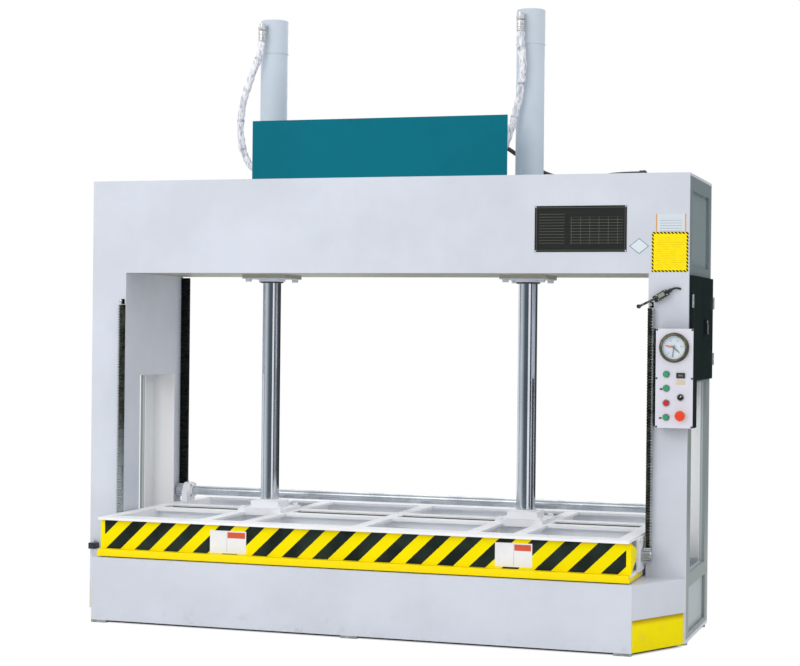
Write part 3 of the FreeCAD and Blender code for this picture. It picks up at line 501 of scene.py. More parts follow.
def hex_bolt(size):
    """Hexagon head with a turned washer under it; size is the thread's diameter."""
    washer = turned([(-0.02 * size, 1.05 * size), (0.14 * size, 1.05 * size), (0.18 * size, size)], 24)
    bpy.ops.object.select_all(action="DESELECT")
    bpy.ops.mesh.primitive_cylinder_add(vertices=6, radius=0.95 * size, depth=0.62 * size,
                                        location=(0, 0, 0.49 * size))
    head = bpy.context.object
    bpy.ops.object.transform_apply(location=True, rotation=True, scale=True)
    edit(head, "FACE", lambda f: f.normal.z > 0.9,
         (bpy.ops.mesh.inset, {"thickness": 0.14 * size, "depth": 0.07 * size}))
    rounded(head, 0.03 * size, 1)
    alone(washer)
    head.select_set(True)
    bpy.ops.object.join()
    return washer


def socket_screw(size):
    """Round head with its key hole sunk in."""
    return turned([(0, 0.8 * size), (0.85 * size, 0.8 * size), (0.95 * size, 0.7 * size),
                   (0.95 * size, 0.42 * size), (0.45 * size, 0.38 * size)], 18)


def pan_screw(size):
    """Low domed head of a panel screw."""
    return turned([(0, 0.95 * size), (0.2 * size, 0.92 * size), (0.42 * size, 0.68 * size),
                   (0.5 * size, 0.3 * size), (0.34 * size, 0.24 * size)], 16)


# Anchor bolts
# Galvanised bolts through the columns' foot plates and pads into the floor, each with its nut.
zinc = Finish("zinc_plating", "zinc_fitting", (206, 208, 210), 0.32, Metallic=0.9)
spangle = zinc.cells(160.0)
zinc.set(Base_Color=zinc.mix(spangle.step(0.2, 0.8), (188, 190, 192), (222, 223, 224)),
         Roughness=zinc.noise(70.0) * 0.25 + 0.2)
zinc.bump(zinc.noise(240.0), 0.0004, 0.3)
repeated("anchor_bolts", hex_bolt(0.016), [((s * 1.408, y, 0.027), (0, 0, 1))
                                           for s in (-1, 1) for y in (-0.262, 0.262)], zinc)

# Feet and kick plates
# Grey pads under the skirts and columns, and yellow kick plates set back below the cut corners.
pad = Finish("foot_pad", "bare_steel", (146, 148, 146), 0.7)
pad.set(Base_Color=pad.mix(pad.noise(40.0, 5.0).step(0.35, 0.65), (122, 124, 122), (160, 162, 160)))
pad.bump(pad.noise(180.0), 0.001, 0.5)
pad.paint("foot_pads")


def signal_yellow(name, slot):
    """Safety yellow, a little redder where it is thin."""
    paint = sprayed(name, slot, (255, 236, 0), 0.42, 0.0, 0.04)
    thin = paint.noise(5.0, 5.0, 0.6).step(0.58, 0.8)
    paint.color = paint.mix(thin * 0.3, paint.color, (248, 214, 0))
    paint.set(Base_Color=paint.color)
    return paint


kick = signal_yellow("kick_plate_yellow", "yellow_paint")
# Painted shadow: a brown band along the kick plate's top, under the overhanging plate above it.
kick.set(Base_Color=kick.mix(kick.z.step(0.118, 0.149) * 0.75, kick.color, (150, 104, 18)))
kick.paint("corner_kick_plates")

# Moving platen
# Welded I beams on a thick pressing plate, sprayed nearly white on their tops.
# The front edge of the plate and the flange above it are yellow.
platen_enamel = sprayed("platen_enamel", "platen_paint", (244, 246, 250))
low_front = (platen_enamel.y < -0.5865) * (platen_enamel.z < 0.3365)
# Painted shade: the walls of the narrow gap between the middle beams are set dark, standing for shadow down
# in the gap.
in_slit = (abs(platen_enamel.y) < 0.0925) * (abs(platen_enamel.x) < 1.170)
painted_shade_gap_wall = in_slit * platen_enamel.z.within(0.3225, 0.4745)
beam_color = platen_enamel.mix(painted_shade_gap_wall, platen_enamel.color, (72, 68, 62))
platen_enamel.set(Base_Color=platen_enamel.mix(low_front, beam_color, (254, 228, 0)))
platen_enamel.paint("platen_long_beams", "platen_cross_beams", "platen_end_channels", "rod_feet",
                    "shaft_bearings")
# The pressing plate's pale paint is set close to white: partly its real tone, partly painted light for the
# shaded cells between the beams.
plate_enamel = sprayed("pressing_plate_enamel", "yellow_paint", (246, 248, 254))
edge_zone = (plate_enamel.y < -0.600).larger(
    (plate_enamel.x > 1.2395) * (plate_enamel.y < -0.35))
# Painted shade: the pressing plate is dark where it shows at the bottom of the gap between the middle
# beams.
slit = (abs(plate_enamel.y) < 0.050) * (plate_enamel.z > 0.320) * (abs(plate_enamel.x) < 1.170)
top_color = plate_enamel.mix(slit, plate_enamel.color, (66, 64, 60))
plate_enamel.set(Base_Color=plate_enamel.mix(edge_zone, top_color, (254, 228, 0)))
plate_enamel.paint("platen_plate")
platen_top = 0.481
joints_y = (-0.521, -0.137, -0.052, 0.052, 0.137, 0.521)
cross_x = (-0.740, -0.530, 0.0, 0.530, 0.740)
weld("cross_beam_welds", [[(x - 0.028, y, platen_top), (x + 0.028, y, platen_top)]
                          for x in cross_x for y in joints_y], 0.004, "platen", platen_enamel)
foot_places = [((s * 0.636 + dx, dy, 0.498), (0, 0, 1))
               for s in (-1, 1) for dx in (-0.092, 0.092) for dy in (-0.108, 0.108)]
repeated("foot_bolts", hex_bolt(0.014), foot_places, platen_enamel, "platen")

# Striped guard sheet
# Bent sheet in front of the platen with black bars masked and sprayed over yellow.
# The bars lean to the right at 45 degrees and stop at a yellow margin on each end.
stripes = signal_yellow("striped_enamel", "striped_paint")
ragged = (stripes.noise(120.0, 3.0) - 0.5) * 0.003
along = (stripes.x - (stripes.z - 0.330) * 1.041 + (1.218 + 1.452) + ragged) % 0.1452
bar = (along < 0.0738) * (abs(stripes.x) < 1.219) * (stripes.y < -0.5835)
bar_color = stripes.mix(stripes.noise(8.0, 4.0).step(0.3, 0.7), (28, 36, 33), (44, 56, 50))
# Painted shadow: the yellow turns orange-brown near the top, under the platen's overhanging flange.
painted_flange_shadow = stripes.mix(stripes.z.step(0.452, 0.470) * 0.55, stripes.color, (206, 140, 22))
stripes.set(Base_Color=stripes.mix(bar, painted_flange_shadow, bar_color))
stripes.paint("striped_cover")

# Blank labels on the guard sheet
# Two white film labels, left without words, with a hairline divider and a red block at the top.


def label(name, low, high, finish, corner=0.004, body="frame"):
    """A thin plate on a front face, its four corners cut round."""
    piece = block(low, high, 0.0002, 1)
    edit(piece, "EDGE",
         lambda e: abs((e.verts[0].co - e.verts[1].co).normalized().y) > 0.9,
         (bpy.ops.mesh.bevel, {"offset": corner, "segments": 4}))
    return settle(piece, name, finish, body)


def frame_line(finish, x0, x1, z0, z1, inset, width):
    """1 on a line that runs round the label inside its edge."""
    off_x = abs(finish.x - (x0 + x1) / 2)
    off_z = abs(finish.z - (z0 + z1) / 2)
    to_edge = ((x1 - x0) / 2 - off_x).sum("MINIMUM", (x1 - x0) / 2 - off_x, (z1 - z0) / 2 - off_z)
    return to_edge.within(inset, inset + width)


for side, (x0, x1, z0, z1) in (("left", (-0.691, -0.514, 0.338, 0.441)),
                               ("right", (0.646, 0.811, 0.343, 0.447))):
    paper = Finish(f"{side}_label_paper", "striped_paint", (236, 238, 242), 0.4, Specular_IOR_Level=0.2)
    header = paper.x.within(x0 + 0.086, x1 - 0.005) * paper.z.within(z1 - 0.033, z1 - 0.006)
    divider = paper.x.within(x0 + 0.083, x0 + 0.0845) * paper.z.within(z0 + 0.006, z1 - 0.006)
    sheet = paper.mix(paper.noise(18.0).step(0.3, 0.7), (240, 241, 245), (234, 236, 242))
    paper.set(Base_Color=paper.mix(header, paper.mix(divider, sheet, (150, 160, 190)), (216, 92, 62)))
    label(f"{side}_guard_label", (x0, -0.5877, z0), (x1, -0.5868, z1), paper, 0.004, "platen")

# Plates and labels on the beam
# A black anodised data plate on rivets, a pale diamond, an orange-edged strip and a yellow card
# with a dashed border. They carry no words.
x0, x1, z0, z1 = 0.743, 1.156, 1.711, 1.915
data_plate = Finish("black_data_plate", "frame_paint", (30, 33, 32), 0.4, Specular_IOR_Level=0.15)
grid = frame_line(data_plate, x0, x1, z0, z1, 0.007, 0.0016)
rows = ((data_plate.z - z0) % 0.0128).within(0.0, 0.0014)
columns = ((data_plate.x - x0) % 0.0413).within(0.0, 0.0012)
table_zone = data_plate.z.within(z0 + 0.034, z1 - 0.050) * data_plate.x.within(x0 + 0.16, x1 - 0.018)
list_zone = data_plate.z.within(z0 + 0.034, z1 - 0.030) * data_plate.x.within(x0 + 0.020, x0 + 0.135)
lines = grid.larger((rows.larger(columns)) * table_zone).larger(rows * list_zone)
brushed = data_plate.noise(1.0, 3.0, 0.6, data_plate.stretched(4.0, 1.0, 300.0))
data_plate.set(Base_Color=data_plate.mix(lines * 0.6, data_plate.mix(brushed, (24, 27, 26), (42, 45, 44)),
                                         (128, 128, 112)), Roughness=brushed * 0.2 + 0.32)
label("data_plate", (x0, -0.3262, z0), (x1, -0.3243, z1), data_plate, 0.007)
repeated("data_plate_rivets", pan_screw(0.004), [((x, -0.3262, z), (0, -1, 0))
                                                 for x in (x0 + 0.0045, x1 - 0.0045)
                                                 for z in (z0 + 0.0045, z1 - 0.0045)], zinc)
diamond_paper = Finish("diamond_paper", "frame_paint", (206, 216, 222), 0.4, Specular_IOR_Level=0.2)
off = abs(diamond_paper.x - 1.211) + abs(diamond_paper.z - 1.736) * 1.27
diamond_paper.set(Base_Color=diamond_paper.mix(off.within(0.0395, 0.0435),
                                               diamond_paper.mix((off > 0.043), (216, 224, 232),
                                                                 (206, 218, 226)), (40, 100, 100)))
diamond = block((-0.033, -0.033, 0.0), (0.033, 0.033, 0.0009), 0.0002, 1)
diamond.data.transform(Matrix.Translation((1.211, -0.3243, 1.736))
                       @ Matrix.Diagonal((0.99, 1.0, 0.78, 1.0))
                       @ Matrix.Rotation(math.radians(90), 4, "X")
                       @ Matrix.Rotation(math.radians(45), 4, "Z"))
edit(diamond, "EDGE", lambda e: abs((e.verts[0].co - e.verts[1].co).normalized().y) > 0.9,
     (bpy.ops.mesh.bevel, {"offset": 0.002, "segments": 3}))
settle(diamond, "diamond_label", diamond_paper)
strip_paper = Finish("strip_paper", "frame_paint", (214, 220, 228), 0.4, Specular_IOR_Level=0.2)
strip_edge = abs(strip_paper.x - 1.3495) > 0.060
ruled = ((strip_paper.z - 1.8) % 0.0115).within(0.0, 0.0022) * (abs(strip_paper.x - 1.3495) < 0.048)
strip_field = strip_paper.mix(ruled * (strip_paper.z < 1.858) * 0.7, (210, 218, 226), (120, 140, 156))
strip_paper.set(Base_Color=strip_paper.mix(strip_edge, strip_field, (222, 160, 70)))
label("strip_label", (1.284, -0.3252, 1.800), (1.415, -0.3243, 1.875), strip_paper, 0.003)
x0, x1, z0, z1 = 1.267, 1.426, 1.623, 1.797
card = Finish("yellow_card", "yellow_paint", (250, 224, 12), 0.45, Specular_IOR_Level=0.12)
card_edge = frame_line(card, x0, x1, z0, z1, -0.001, 0.0092)
dashes = ((card.x - x0 + card.z - z0) % 0.0159) < 0.0100
card_rules = ((card.z - z0) % 0.0098).within(0.0, 0.0030) * frame_line(card, x0, x1, z0, z1, 0.016, 0.2)
card_field = card.mix(card_rules * card.noise(60.0).step(0.4, 0.6) * 0.5, (252, 226, 6), (206, 176, 8))
card.set(Base_Color=card.mix(card_edge * dashes, card_field, (12, 12, 6)))
label("yellow_card", (x0, -0.3252, z0), (x1, -0.3243, z1), card, 0.003)

# Hydraulic cylinders
# Barrels of honed tube with welded caps, standing on the beam and held by square flanges below.
barrel_enamel = sprayed("barrel_enamel", "frame_paint", (200, 211, 222), 0.4)
barrel_enamel.paint("cylinder_barrels")
weld("cap_welds", [ring_points(s * 0.636, 0.0, 2.683, 0.0662) for s in (-1, 1)], 0.004,
     finish=barrel_enamel, closed=True)
flange_places = [((s * 0.636 + dx, dy, 1.597), (0, 0, -1))
                 for s in (-1, 1) for dx in (-0.086, 0.086) for dy in (-0.086, 0.086)]
repeated("cylinder_bolts", hex_bolt(0.016), flange_places, enamel)
repeated("bleed_plugs", socket_screw(0.014), [((s * 0.636, 0.0, 2.843 - 0.0137), (0, 0, 1))
                                              for s in (-1, 1)], zinc)
rubber = Finish("seal_rubber", "black_plastic", (34, 34, 36), 0.55)
rubber.set(Base_Color=rubber.mix(rubber.noise(90.0), (26, 26, 28), (48, 48, 50)))
rubber.bump(rubber.noise(400.0), 0.0003, 0.4)
wiper = turned([(0.0, 0.056), (0.004, 0.056), (0.007, 0.051), (0.007, 0.0455), (0.001, 0.0452)], 48)
repeated("rod_wipers", wiper, [((s * 0.636, 0.0, 1.585), (0, 0, -1)) for s in (-1, 1)], rubber)

# Piston rods
# Ground and hard-chromed bar, bright all round, screwed into the blocks on the platen.
chrome = Finish("hard_chrome", "hard_chrome", (222, 226, 230), 0.07, Metallic=1.0)
honing = chrome.noise(1.0, 3.0, 0.6, chrome.stretched(40.0, 40.0, 900.0))
chrome.set(Roughness=honing * 0.06 + 0.05,
           Base_Color=chrome.mix(chrome.noise(3.0).step(0.3, 0.7), (214, 219, 224), (232, 236, 240)))
chrome.paint("piston_rods")
collar = turned([(0.0, 0.0545), (0.005, 0.0545), (0.0065, 0.053), (0.0065, 0.0455)], 48)
repeated("rod_collars", collar, [((s * 0.636, 0.0, 0.530), (0, 0, 1)) for s in (-1, 1)],
         platen_enamel, "platen")

# Racks and stops
# Cut steel racks screwed to the columns, dark with grease on their teeth.
rack_steel = Finish("greased_rack", "rack_steel", (66, 68, 60), 0.38, Metallic=0.85)
grease = rack_steel.noise(26.0, 5.0, 0.65).step(0.35, 0.65)
front_rack_color = rack_steel.mix(grease, (52, 54, 44), (96, 98, 88))
bright_edge = (abs(rack_steel.x) > 1.2752) * (rack_steel.y < -0.3)
# Painted reflection: the left front rack is set pale in its lower part.
painted_reflection_low = (rack_steel.x < 0.0) * (rack_steel.y < -0.3) * (1.0 - rack_steel.z.step(0.62, 1.0)) * 0.8
front_rack_color = rack_steel.mix(painted_reflection_low, front_rack_color, (200, 206, 208))
front_rack_color = rack_steel.mix((rack_steel.y > 0.0) * 0.8, front_rack_color, (24, 26, 34))
rack_steel.set(Base_Color=rack_steel.mix(bright_edge, front_rack_color, (190, 196, 196)),
               Roughness=grease * 0.25 + 0.25)
rack_steel.bump(rack_steel.noise(120.0), 0.0006, 0.4)
rack_steel.paint("front_racks", "rear_racks")
stop = block((-0.012, -0.024, 0.0), (0.012, 0.0, 0.030), 0.003, 3)
repeated("rack_stops", stop, [((s * 1.269, front_face, 1.4655), (0, 0, 1)) for s in (-1, 1)],
         rack_steel)
repeated("rack_stop_bolts", hex_bolt(0.007), [((s * 1.269, front_face - 0.024, 1.481), (0, -1, 0))
                                              for s in (-1, 1)], zinc)

# Levelling shafts and their bearings
# Two steel shafts with cut pinions keep the platen level; flanged bearings carry them.
shaft_steel = Finish("ground_shaft", "bare_steel", (206, 212, 218), 0.28, Metallic=0.9)
turning = shaft_steel.noise(1.0, 3.0, 0.6, shaft_steel.stretched(700.0, 30.0, 30.0))
shaft_steel.set(Base_Color=shaft_steel.mix(shaft_steel.noise(7.0, 5.0).step(0.35, 0.7), (188, 194, 200),
                                           (218, 223, 228)), Roughness=turning * 0.2 + 0.2)
shaft_steel.bump(turning, 0.0003, 0.3)
shaft_steel.paint("front_levelling_shaft", "rear_levelling_shaft")
shaft_y, shaft_z = 0.2777, 0.537
flange = turned([(0.0, 0.043), (0.008, 0.043), (0.010, 0.041), (0.010, 0.033), (0.016, 0.031),
                 (0.016, 0.0235)], 40)
repeated("bearing_flanges", flange, [((s * 1.176, shaft_y, shaft_z), (-s, 0, 0)) for s in (-1, 1)],
         platen_enamel, "platen")
repeated("bearing_bolts", hex_bolt(0.006),
         [((s * 1.166, shaft_y + 0.037 * math.cos(a), shaft_z + 0.037 * math.sin(a)), (-s, 0, 0))
          for s in (-1, 1) for a in (math.radians(45 + 90 * k) for k in range(4))], zinc, "platen")
nipple = turned([(0.0, 0.004), (0.004, 0.004), (0.006, 0.0025), (0.010, 0.0025), (0.012, 0.0034),
                 (0.014, 0.0022)], 12)
repeated("grease_nipples", nipple, [((s * 1.191, shaft_y, shaft_z + 0.0395), (0, 0, 1))
                                    for s in (-1, 1)], zinc, "platen")
repeated("plate_screws", pan_screw(0.007), [((s * 1.248, y, z), (s, 0, 0)) for s in (-1, 1)
                                            for y in (-0.428, -0.335) for z in (0.344, 0.461)],
         zinc, "platen")

# Cover panel
# Folded sheet sprayed blue-green, in front of the hydraulic power unit.
teal = sprayed("teal_enamel", "teal_paint", (6, 108, 126), 0.45, 0.0, 0.04)
teal.paint("pump_cover_panel")

# Hydraulic power unit
# Welded oil tank with a screwed lid and breather, a finned motor and a drilled valve block.
tank_enamel = sprayed("tank_enamel", "tank_paint", (186, 196, 208))
tank_enamel.paint("oil_tank")
motor_enamel = sprayed("motor_enamel", "motor_paint", (64, 92, 118))
motor_enamel.paint("pump_motor")
block_steel = Finish("valve_block_steel", "bare_steel", (150, 152, 150), 0.4, Metallic=0.8)
milling = block_steel.noise(1.0, 3.0, 0.6, block_steel.stretched(30.0, 30.0, 420.0))
coil_zone = block_steel.y < -0.2005
block_steel.set(Base_Color=block_steel.mix(coil_zone, block_steel.mix(milling, (136, 138, 138),
                                                                      (170, 172, 172)), (34, 35, 38)),
                Roughness=milling * 0.2 + 0.3)
block_steel.paint("valve_manifold")
zinc.paint("hose_fittings")
lid_top = 2.293
repeated("lid_screws", hex_bolt(0.008), [((x, y, lid_top - 0.0005), (0, 0, 1))
                                         for x in (-0.340, -0.140, 0.060) for y in (-0.060, 0.260)],
         zinc)
cap_x, cap_y = -0.265, 0.185
breather = turned([(0.0, 0.036), (0.006, 0.038), (0.022, 0.038), (0.026, 0.035), (0.028, 0.012)], 28)
edit(breather, "FACE", lambda f: abs(f.normal.z) < 0.2 and f.calc_center_median().z > 0.007,
     (bpy.ops.mesh.inset, {"thickness": 0.0008, "depth": -0.0012, "use_individual": True}))
settle(moved(breather, (cap_x, cap_y, 2.333)), "breather_cap", conduit)
sight = Finish("sight_glass", "tank_paint", (196, 170, 90), 0.08, Coat_Weight=1.0)
sight.set(Base_Color=sight.mix(sight.z.step(2.148, 2.152), (190, 142, 40), (226, 226, 214)))
gauge_bar = block((-0.300, -0.0745, 2.090), (-0.276, -0.0595, 2.215), 0.002, 3)
settle(gauge_bar, "level_gauge_body", zinc)
tube = block((-0.294, -0.079, 2.105), (-0.282, -0.072, 2.200), 0.003, 4)
settle(tube, "level_gauge_glass", sight)
repeated("drain_plug", socket_screw(0.018), [((-0.3395, 0.100, 2.080), (-1, 0, 0))], zinc)
repeated("block_screws", socket_screw(0.008), [((x, y, 2.1845), (0, 0, 1))
                                               for x in (-0.036, 0.036) for y in (-0.186, -0.114)],
         zinc)
coil_nut = turned([(0.0, 0.013), (0.006, 0.013), (0.007, 0.011), (0.007, 0.006), (0.012, 0.005)], 6)
repeated("coil_nuts", coil_nut, [((0.0, -0.2595, 2.055 + h), (0, -1, 0)) for h in (0.045, 0.100)],
         zinc)
slats = block((-0.0035, -0.052, 0.0), (0.0035, 0.052, 0.0022), 0.001, 2)
grille = []
for k in range(-4, 5):
    reach = math.sqrt(0.068 ** 2 - (k * 0.014) ** 2)
    bar_mesh = slats.data.copy()
    bar_mesh.transform(Matrix.Translation((0.3995, 0.100 + k * 0.014, 2.160))
                       @ Matrix.Rotation(math.radians(90), 4, "Y")
                       @ Matrix.Rotation(math.radians(90), 4, "Z")
                       @ Matrix.Diagonal((1.0, reach / 0.052, 1.0, 1.0)))
    slat = bpy.data.objects.new("slat", bar_mesh)
    scene.collection.objects.link(slat)
    grille.append(slat)
bpy.data.objects.remove(slats)
joined(grille, "fan_grille", conduit)
settle(block((0.125, 0.058, 2.2395), (0.195, 0.0605, 2.272), 0.0008), "motor_blank_plate", zinc)
crimp = turned([(0.0, 0.0125), (0.004, 0.019), (0.018, 0.019), (0.020, 0.0165), (0.024, 0.0165),
                (0.026, 0.0185), (0.034, 0.0185), (0.036, 0.0165), (0.040, 0.0165), (0.042, 0.0185),
                (0.050, 0.018), (0.053, 0.0155)], 24)
repeated("hose_crimps", crimp, [((-0.66188, -0.09659, 2.785), (0, 0, -1)),
                                ((0.61012, -0.09659, 2.785), (0, 0, -1)),
                                ((-0.074, -0.150, 2.110), (-1, 0, 0)),
                                ((0.074, -0.150, 2.110), (1, 0, 0))], zinc)
union = turned([(0.0, 0.019), (0.001, 0.0205), (0.013, 0.0205), (0.014, 0.019)], 6)
repeated("union_nuts", union, [((-0.050, -0.150, 2.110), (-1, 0, 0)), ((0.050, -0.150, 2.110), (1, 0, 0)),
                               ((-0.66188, -0.09659, 2.801), (0, 0, -1)),
                               ((0.61012, -0.09659, 2.801), (0, 0, -1))], zinc)

# Electric cabinet
# Black cabinet let into the right column, with two leaves on barrel hinges and a swing handle.
black = sprayed("cabinet_black", "black_paint", (33, 42, 42), 0.36, 0.0, 0.1)
black.paint("cabinet_body", "cabinet_front_door", "cabinet_rear_door", "control_box")
steel_sheet = Finish("mounting_zinc", "zinc_fitting", (186, 188, 184), 0.35, Metallic=0.9)
sheet_spangle = steel_sheet.cells(45.0)
steel_sheet.set(Base_Color=steel_sheet.mix(sheet_spangle.step(0.2, 0.9), (166, 168, 166), (206, 208, 204)))
steel_sheet.paint("cabinet_mounting_plate")
for body, edge_y, side in (("cabinet_front_leaf", -0.301, -1), ("cabinet_rear_leaf", 0.301, 1)):
    knuckles = turned([(0.0, 0.0045), (0.001, 0.0055), (0.027, 0.0055), (0.028, 0.0045)], 16)
    repeated(f"{body}_knuckles", knuckles, [((1.446, edge_y, z), (0, 0, 1)) for z in (1.240, 1.498)],
             zinc, body)
    pins = turned([(0.0, 0.0045), (0.001, 0.0055), (0.027, 0.0055), (0.028, 0.0045),
                   (0.030, 0.003)], 16)
    repeated(f"{body}_hinge_pins", pins, [((1.446, edge_y, z - 0.0285), (0, 0, 1))
                                          for z in (1.240, 1.498)], zinc)
handle_lock = turned([(0.0, 0.0085), (0.002, 0.0085), (0.0025, 0.0078), (0.0025, 0.004),
                      (0.001, 0.0035)], 20)
repeated("handle_lock", handle_lock, [((1.459, 0.033, 1.408), (1, 0, 0))], zinc, "cabinet_rear_leaf")
lever = block((1.4588, 0.0275, 1.3555), (1.4648, 0.0385, 1.398), 0.0022, 3)
settle(lever, "handle_lever", steel_sheet, "cabinet_rear_leaf")
gasket = [block((1.4298, y0, z0), (1.4318, y1, z1), 0.0006, 1) for y0, y1, z0, z1 in
          ((-0.290, 0.290, 1.1605, 1.1685), (-0.290, 0.290, 1.5915, 1.5995),
           (-0.290, -0.282, 1.1686, 1.5914), (0.282, 0.290, 1.1686, 1.5914))]
relay = Finish("relay_grey", "black_plastic", (196, 198, 196), 0.5)
relay.set(Base_Color=relay.mix(relay.noise(30.0), (178, 180, 178), (208, 210, 208)))
relay.bump(relay.noise(300.0), 0.0003, 0.3)
rail_face = 1.304
units = []
for z, row in ((1.2725, ((-0.20, 0.045), (-0.15, 0.045), (-0.10, 0.045), (-0.04, 0.07), (0.05, 0.09),
                         (0.15, 0.08))),
               (1.4425, ((-0.21, 0.03), (-0.175, 0.03), (-0.14, 0.03), (-0.09, 0.055), (-0.03, 0.055),
                         (0.05, 0.11), (0.17, 0.06)))):
    for y, wide in row:
        unit = block((rail_face, y, z - 0.036), (rail_face + 0.060, y + wide - 0.004, z + 0.071), 0.002, 2)
        edit(unit, "FACE", lambda f: f.normal.x > 0.9,
             (bpy.ops.mesh.inset, {"thickness": 0.007}), (bpy.ops.mesh.inset, {"thickness": 0.001,
                                                                               "depth": -0.004}))
        units.append(unit)
joined(units, "relays_and_breakers", relay)
joined(gasket, "door_gasket", rubber)
duct = [block((rail_face - 0.002, -0.245, z0), (rail_face + 0.030, 0.245, z0 + 0.028), 0.0015, 1)
        for z0 in (1.193, 1.362, 1.536)]
for piece in duct:
    edit(piece, "FACE", lambda f: abs(f.normal.z) > 0.9 or f.normal.x > 0.9,
         (bpy.ops.mesh.inset, {"thickness": 0.003}), (bpy.ops.mesh.inset, {"thickness": 0.0008,
                                                                           "depth": -0.001}))
joined(duct, "wiring_ducts", relay)

# Control box
# Black steel box with a pale screwed front, a pressure gauge, push buttons, a knob and a stop.
settle(block((1.2835, -0.3295, 0.952), (1.3092, -0.3243, 1.377), 0.0008), "box_mounting_flange", black)
panel_enamel = sprayed("panel_enamel", "panel_paint", (224, 224, 235), 0.35)
panel_enamel.paint("control_panel")
face = -0.4375
repeated("panel_screws", pan_screw(0.0045), [((x, face, z), (0, -1, 0)) for x in (1.3135, 1.4650)
                                            for z in (0.9570, 1.1645, 1.3720)], rubber)
bezel_metal = Finish("button_bezel", "bezel_metal", (182, 184, 186), 0.3, Metallic=0.9)
bezel_metal.set(Roughness=bezel_metal.noise(200.0) * 0.2 + 0.2,
                Base_Color=bezel_metal.mix(bezel_metal.noise(60.0), (164, 166, 168), (204, 206, 208)))
bezel_metal.paint("button_bezels")


def moulded(name, slot, color, light, **constants):
    """Glossy moulded plastic, lighter in the middle of its tone."""
    plastic = Finish(name, slot, color, 0.3, Coat_Weight=0.15, Coat_Roughness=0.12,
                     Specular_IOR_Level=0.3, **constants)
    plastic.set(Base_Color=plastic.mix(plastic.noise(110.0), color, light))
    plastic.bump(plastic.noise(500.0), 0.0002, 0.3)
    return plastic


green = moulded("green_button", "green_plastic", (34, 146, 96), (52, 172, 116))
green.paint("green_button_upper", "green_button_middle", "green_button_lower")
red = moulded("red_button", "red_plastic", (196, 26, 40), (222, 44, 52))
red.paint("red_button")
mushroom = moulded("stop_mushroom", "red_plastic", (222, 52, 26), (240, 82, 48))
mushroom.paint("stop_button")
knob_black = moulded("knob_black", "black_plastic", (30, 32, 36), (52, 54, 58))
knob_black.paint("selector_knob", "counter_display")
pale = moulded("pale_plastic", "panel_paint", (232, 226, 214), (242, 238, 228))
stop_ring = turned([(0.0, 0.0275), (0.0012, 0.0275), (0.0016, 0.027), (0.0016, 0.0155)], 40)
repeated("stop_ring", stop_ring, [((1.417, face, 1.005), (0, -1, 0))], pale)
knob_mark = block((-0.0016, -0.0003, 0.001), (0.0016, 0.0004, 0.0095), 0.0003, 1)
knob_mark.data.transform(Matrix.Translation((1.417, -0.4576, 1.084))
                         @ Matrix.Rotation(math.radians(45), 4, "Y"))
settle(knob_mark, "knob_mark", pale, "selector_knob")
keys = [block((x - 0.006, face - 0.0015, z - 0.0035), (x + 0.006, face + 0.0002, z + 0.0035), 0.0006, 2)
        for x, z in ((1.3335, 1.118), (1.3315, 0.994))]
joined(keys, "small_keys", knob_black)
beige = moulded("beige_label", "panel_paint", (206, 190, 160), (220, 206, 178))
settle(block((1.3975, face - 0.001, 1.138), (1.4365, face + 0.0002, 1.156), 0.0005), "beige_label", beige)
display_frame = block((1.3985, -0.4432, 1.1655), (1.4355, -0.4374, 1.1885), 0.0012, 2)
edit(display_frame, "FACE", lambda f: f.normal.y < -0.9,
     (bpy.ops.mesh.inset, {"thickness": 0.0035}), (bpy.ops.mesh.inset, {"thickness": 0.0006,
                                                                       "depth": -0.0012}))
settle(display_frame, "display_frame", knob_black)
amber = Finish("display_digits", "black_plastic", (150, 156, 130), 0.3)
amber.set(Base_Color=amber.mix(amber.noise(90.0), (132, 138, 112), (176, 182, 156)))


def words(text, size, place, name, finish, body="frame", thick=0.0003):
    """Figures cut from flat stock, upright on a front face."""
    bpy.ops.object.select_all(action="DESELECT")
    bpy.ops.object.text_add(location=place, rotation=(math.radians(90), 0, 0))
    piece = bpy.context.object
    piece.data.body = text
    piece.data.size = size
    piece.data.align_x = "CENTER"
    piece.data.align_y = "CENTER"
    piece.data.extrude = thick
    piece.data.resolution_u = 3
    alone(piece)
    bpy.ops.object.convert(target="MESH")
    bpy.ops.object.transform_apply(location=True, rotation=True, scale=True)
    return piece


joined([words("0000", 0.0105, (1.417, -0.4421, 1.177), "digits", amber)], "display_digits", amber)

# Pressure gauge
# Contact gauge with an olive cast case, a printed dial, two setting pointers and a glass.
olive = Finish("gauge_case_metal", "gauge_metal", (98, 98, 84), 0.4, Metallic=0.4)
patina = olive.noise(38.0, 5.0, 0.6)
olive.set(Base_Color=olive.mix(patina.step(0.35, 0.65), (78, 78, 66), (128, 122, 104)),
          Roughness=patina * 0.3 + 0.25)
olive.bump(patina, 0.0008, 0.4)
olive.paint("gauge_case")
dial = Finish("dial_enamel", "dial_face", (224, 236, 244), 0.35)
dial.set(Base_Color=dial.mix(dial.noise(14.0).step(0.35, 0.65), (214, 230, 242), (236, 243, 248)))
dial.paint("gauge_dial")
centre_x, centre_z, dial_y = 1.388, 1.296, -0.4455
ink = Finish("dial_ink", "dial_face", (26, 28, 32), 0.5)
ink.set(Base_Color=ink.mix(ink.noise(80.0), (20, 22, 26), (44, 46, 50)))
marks = []
for k in range(51):
    angle = math.radians(225 - 270 * k / 50)
    long_mark = k % 10 == 0
    inner = 0.0395 if long_mark else 0.0425
    mark = block((inner, -0.0003, -0.0007 if long_mark else -0.00035),
                 (0.0460, 0.0002, 0.0007 if long_mark else 0.00035), 0.0001, 1)
    mark.data.transform(Matrix.Translation((centre_x, dial_y, centre_z))
                        @ Matrix.Rotation(-angle, 4, "Y"))
    marks.append(mark)
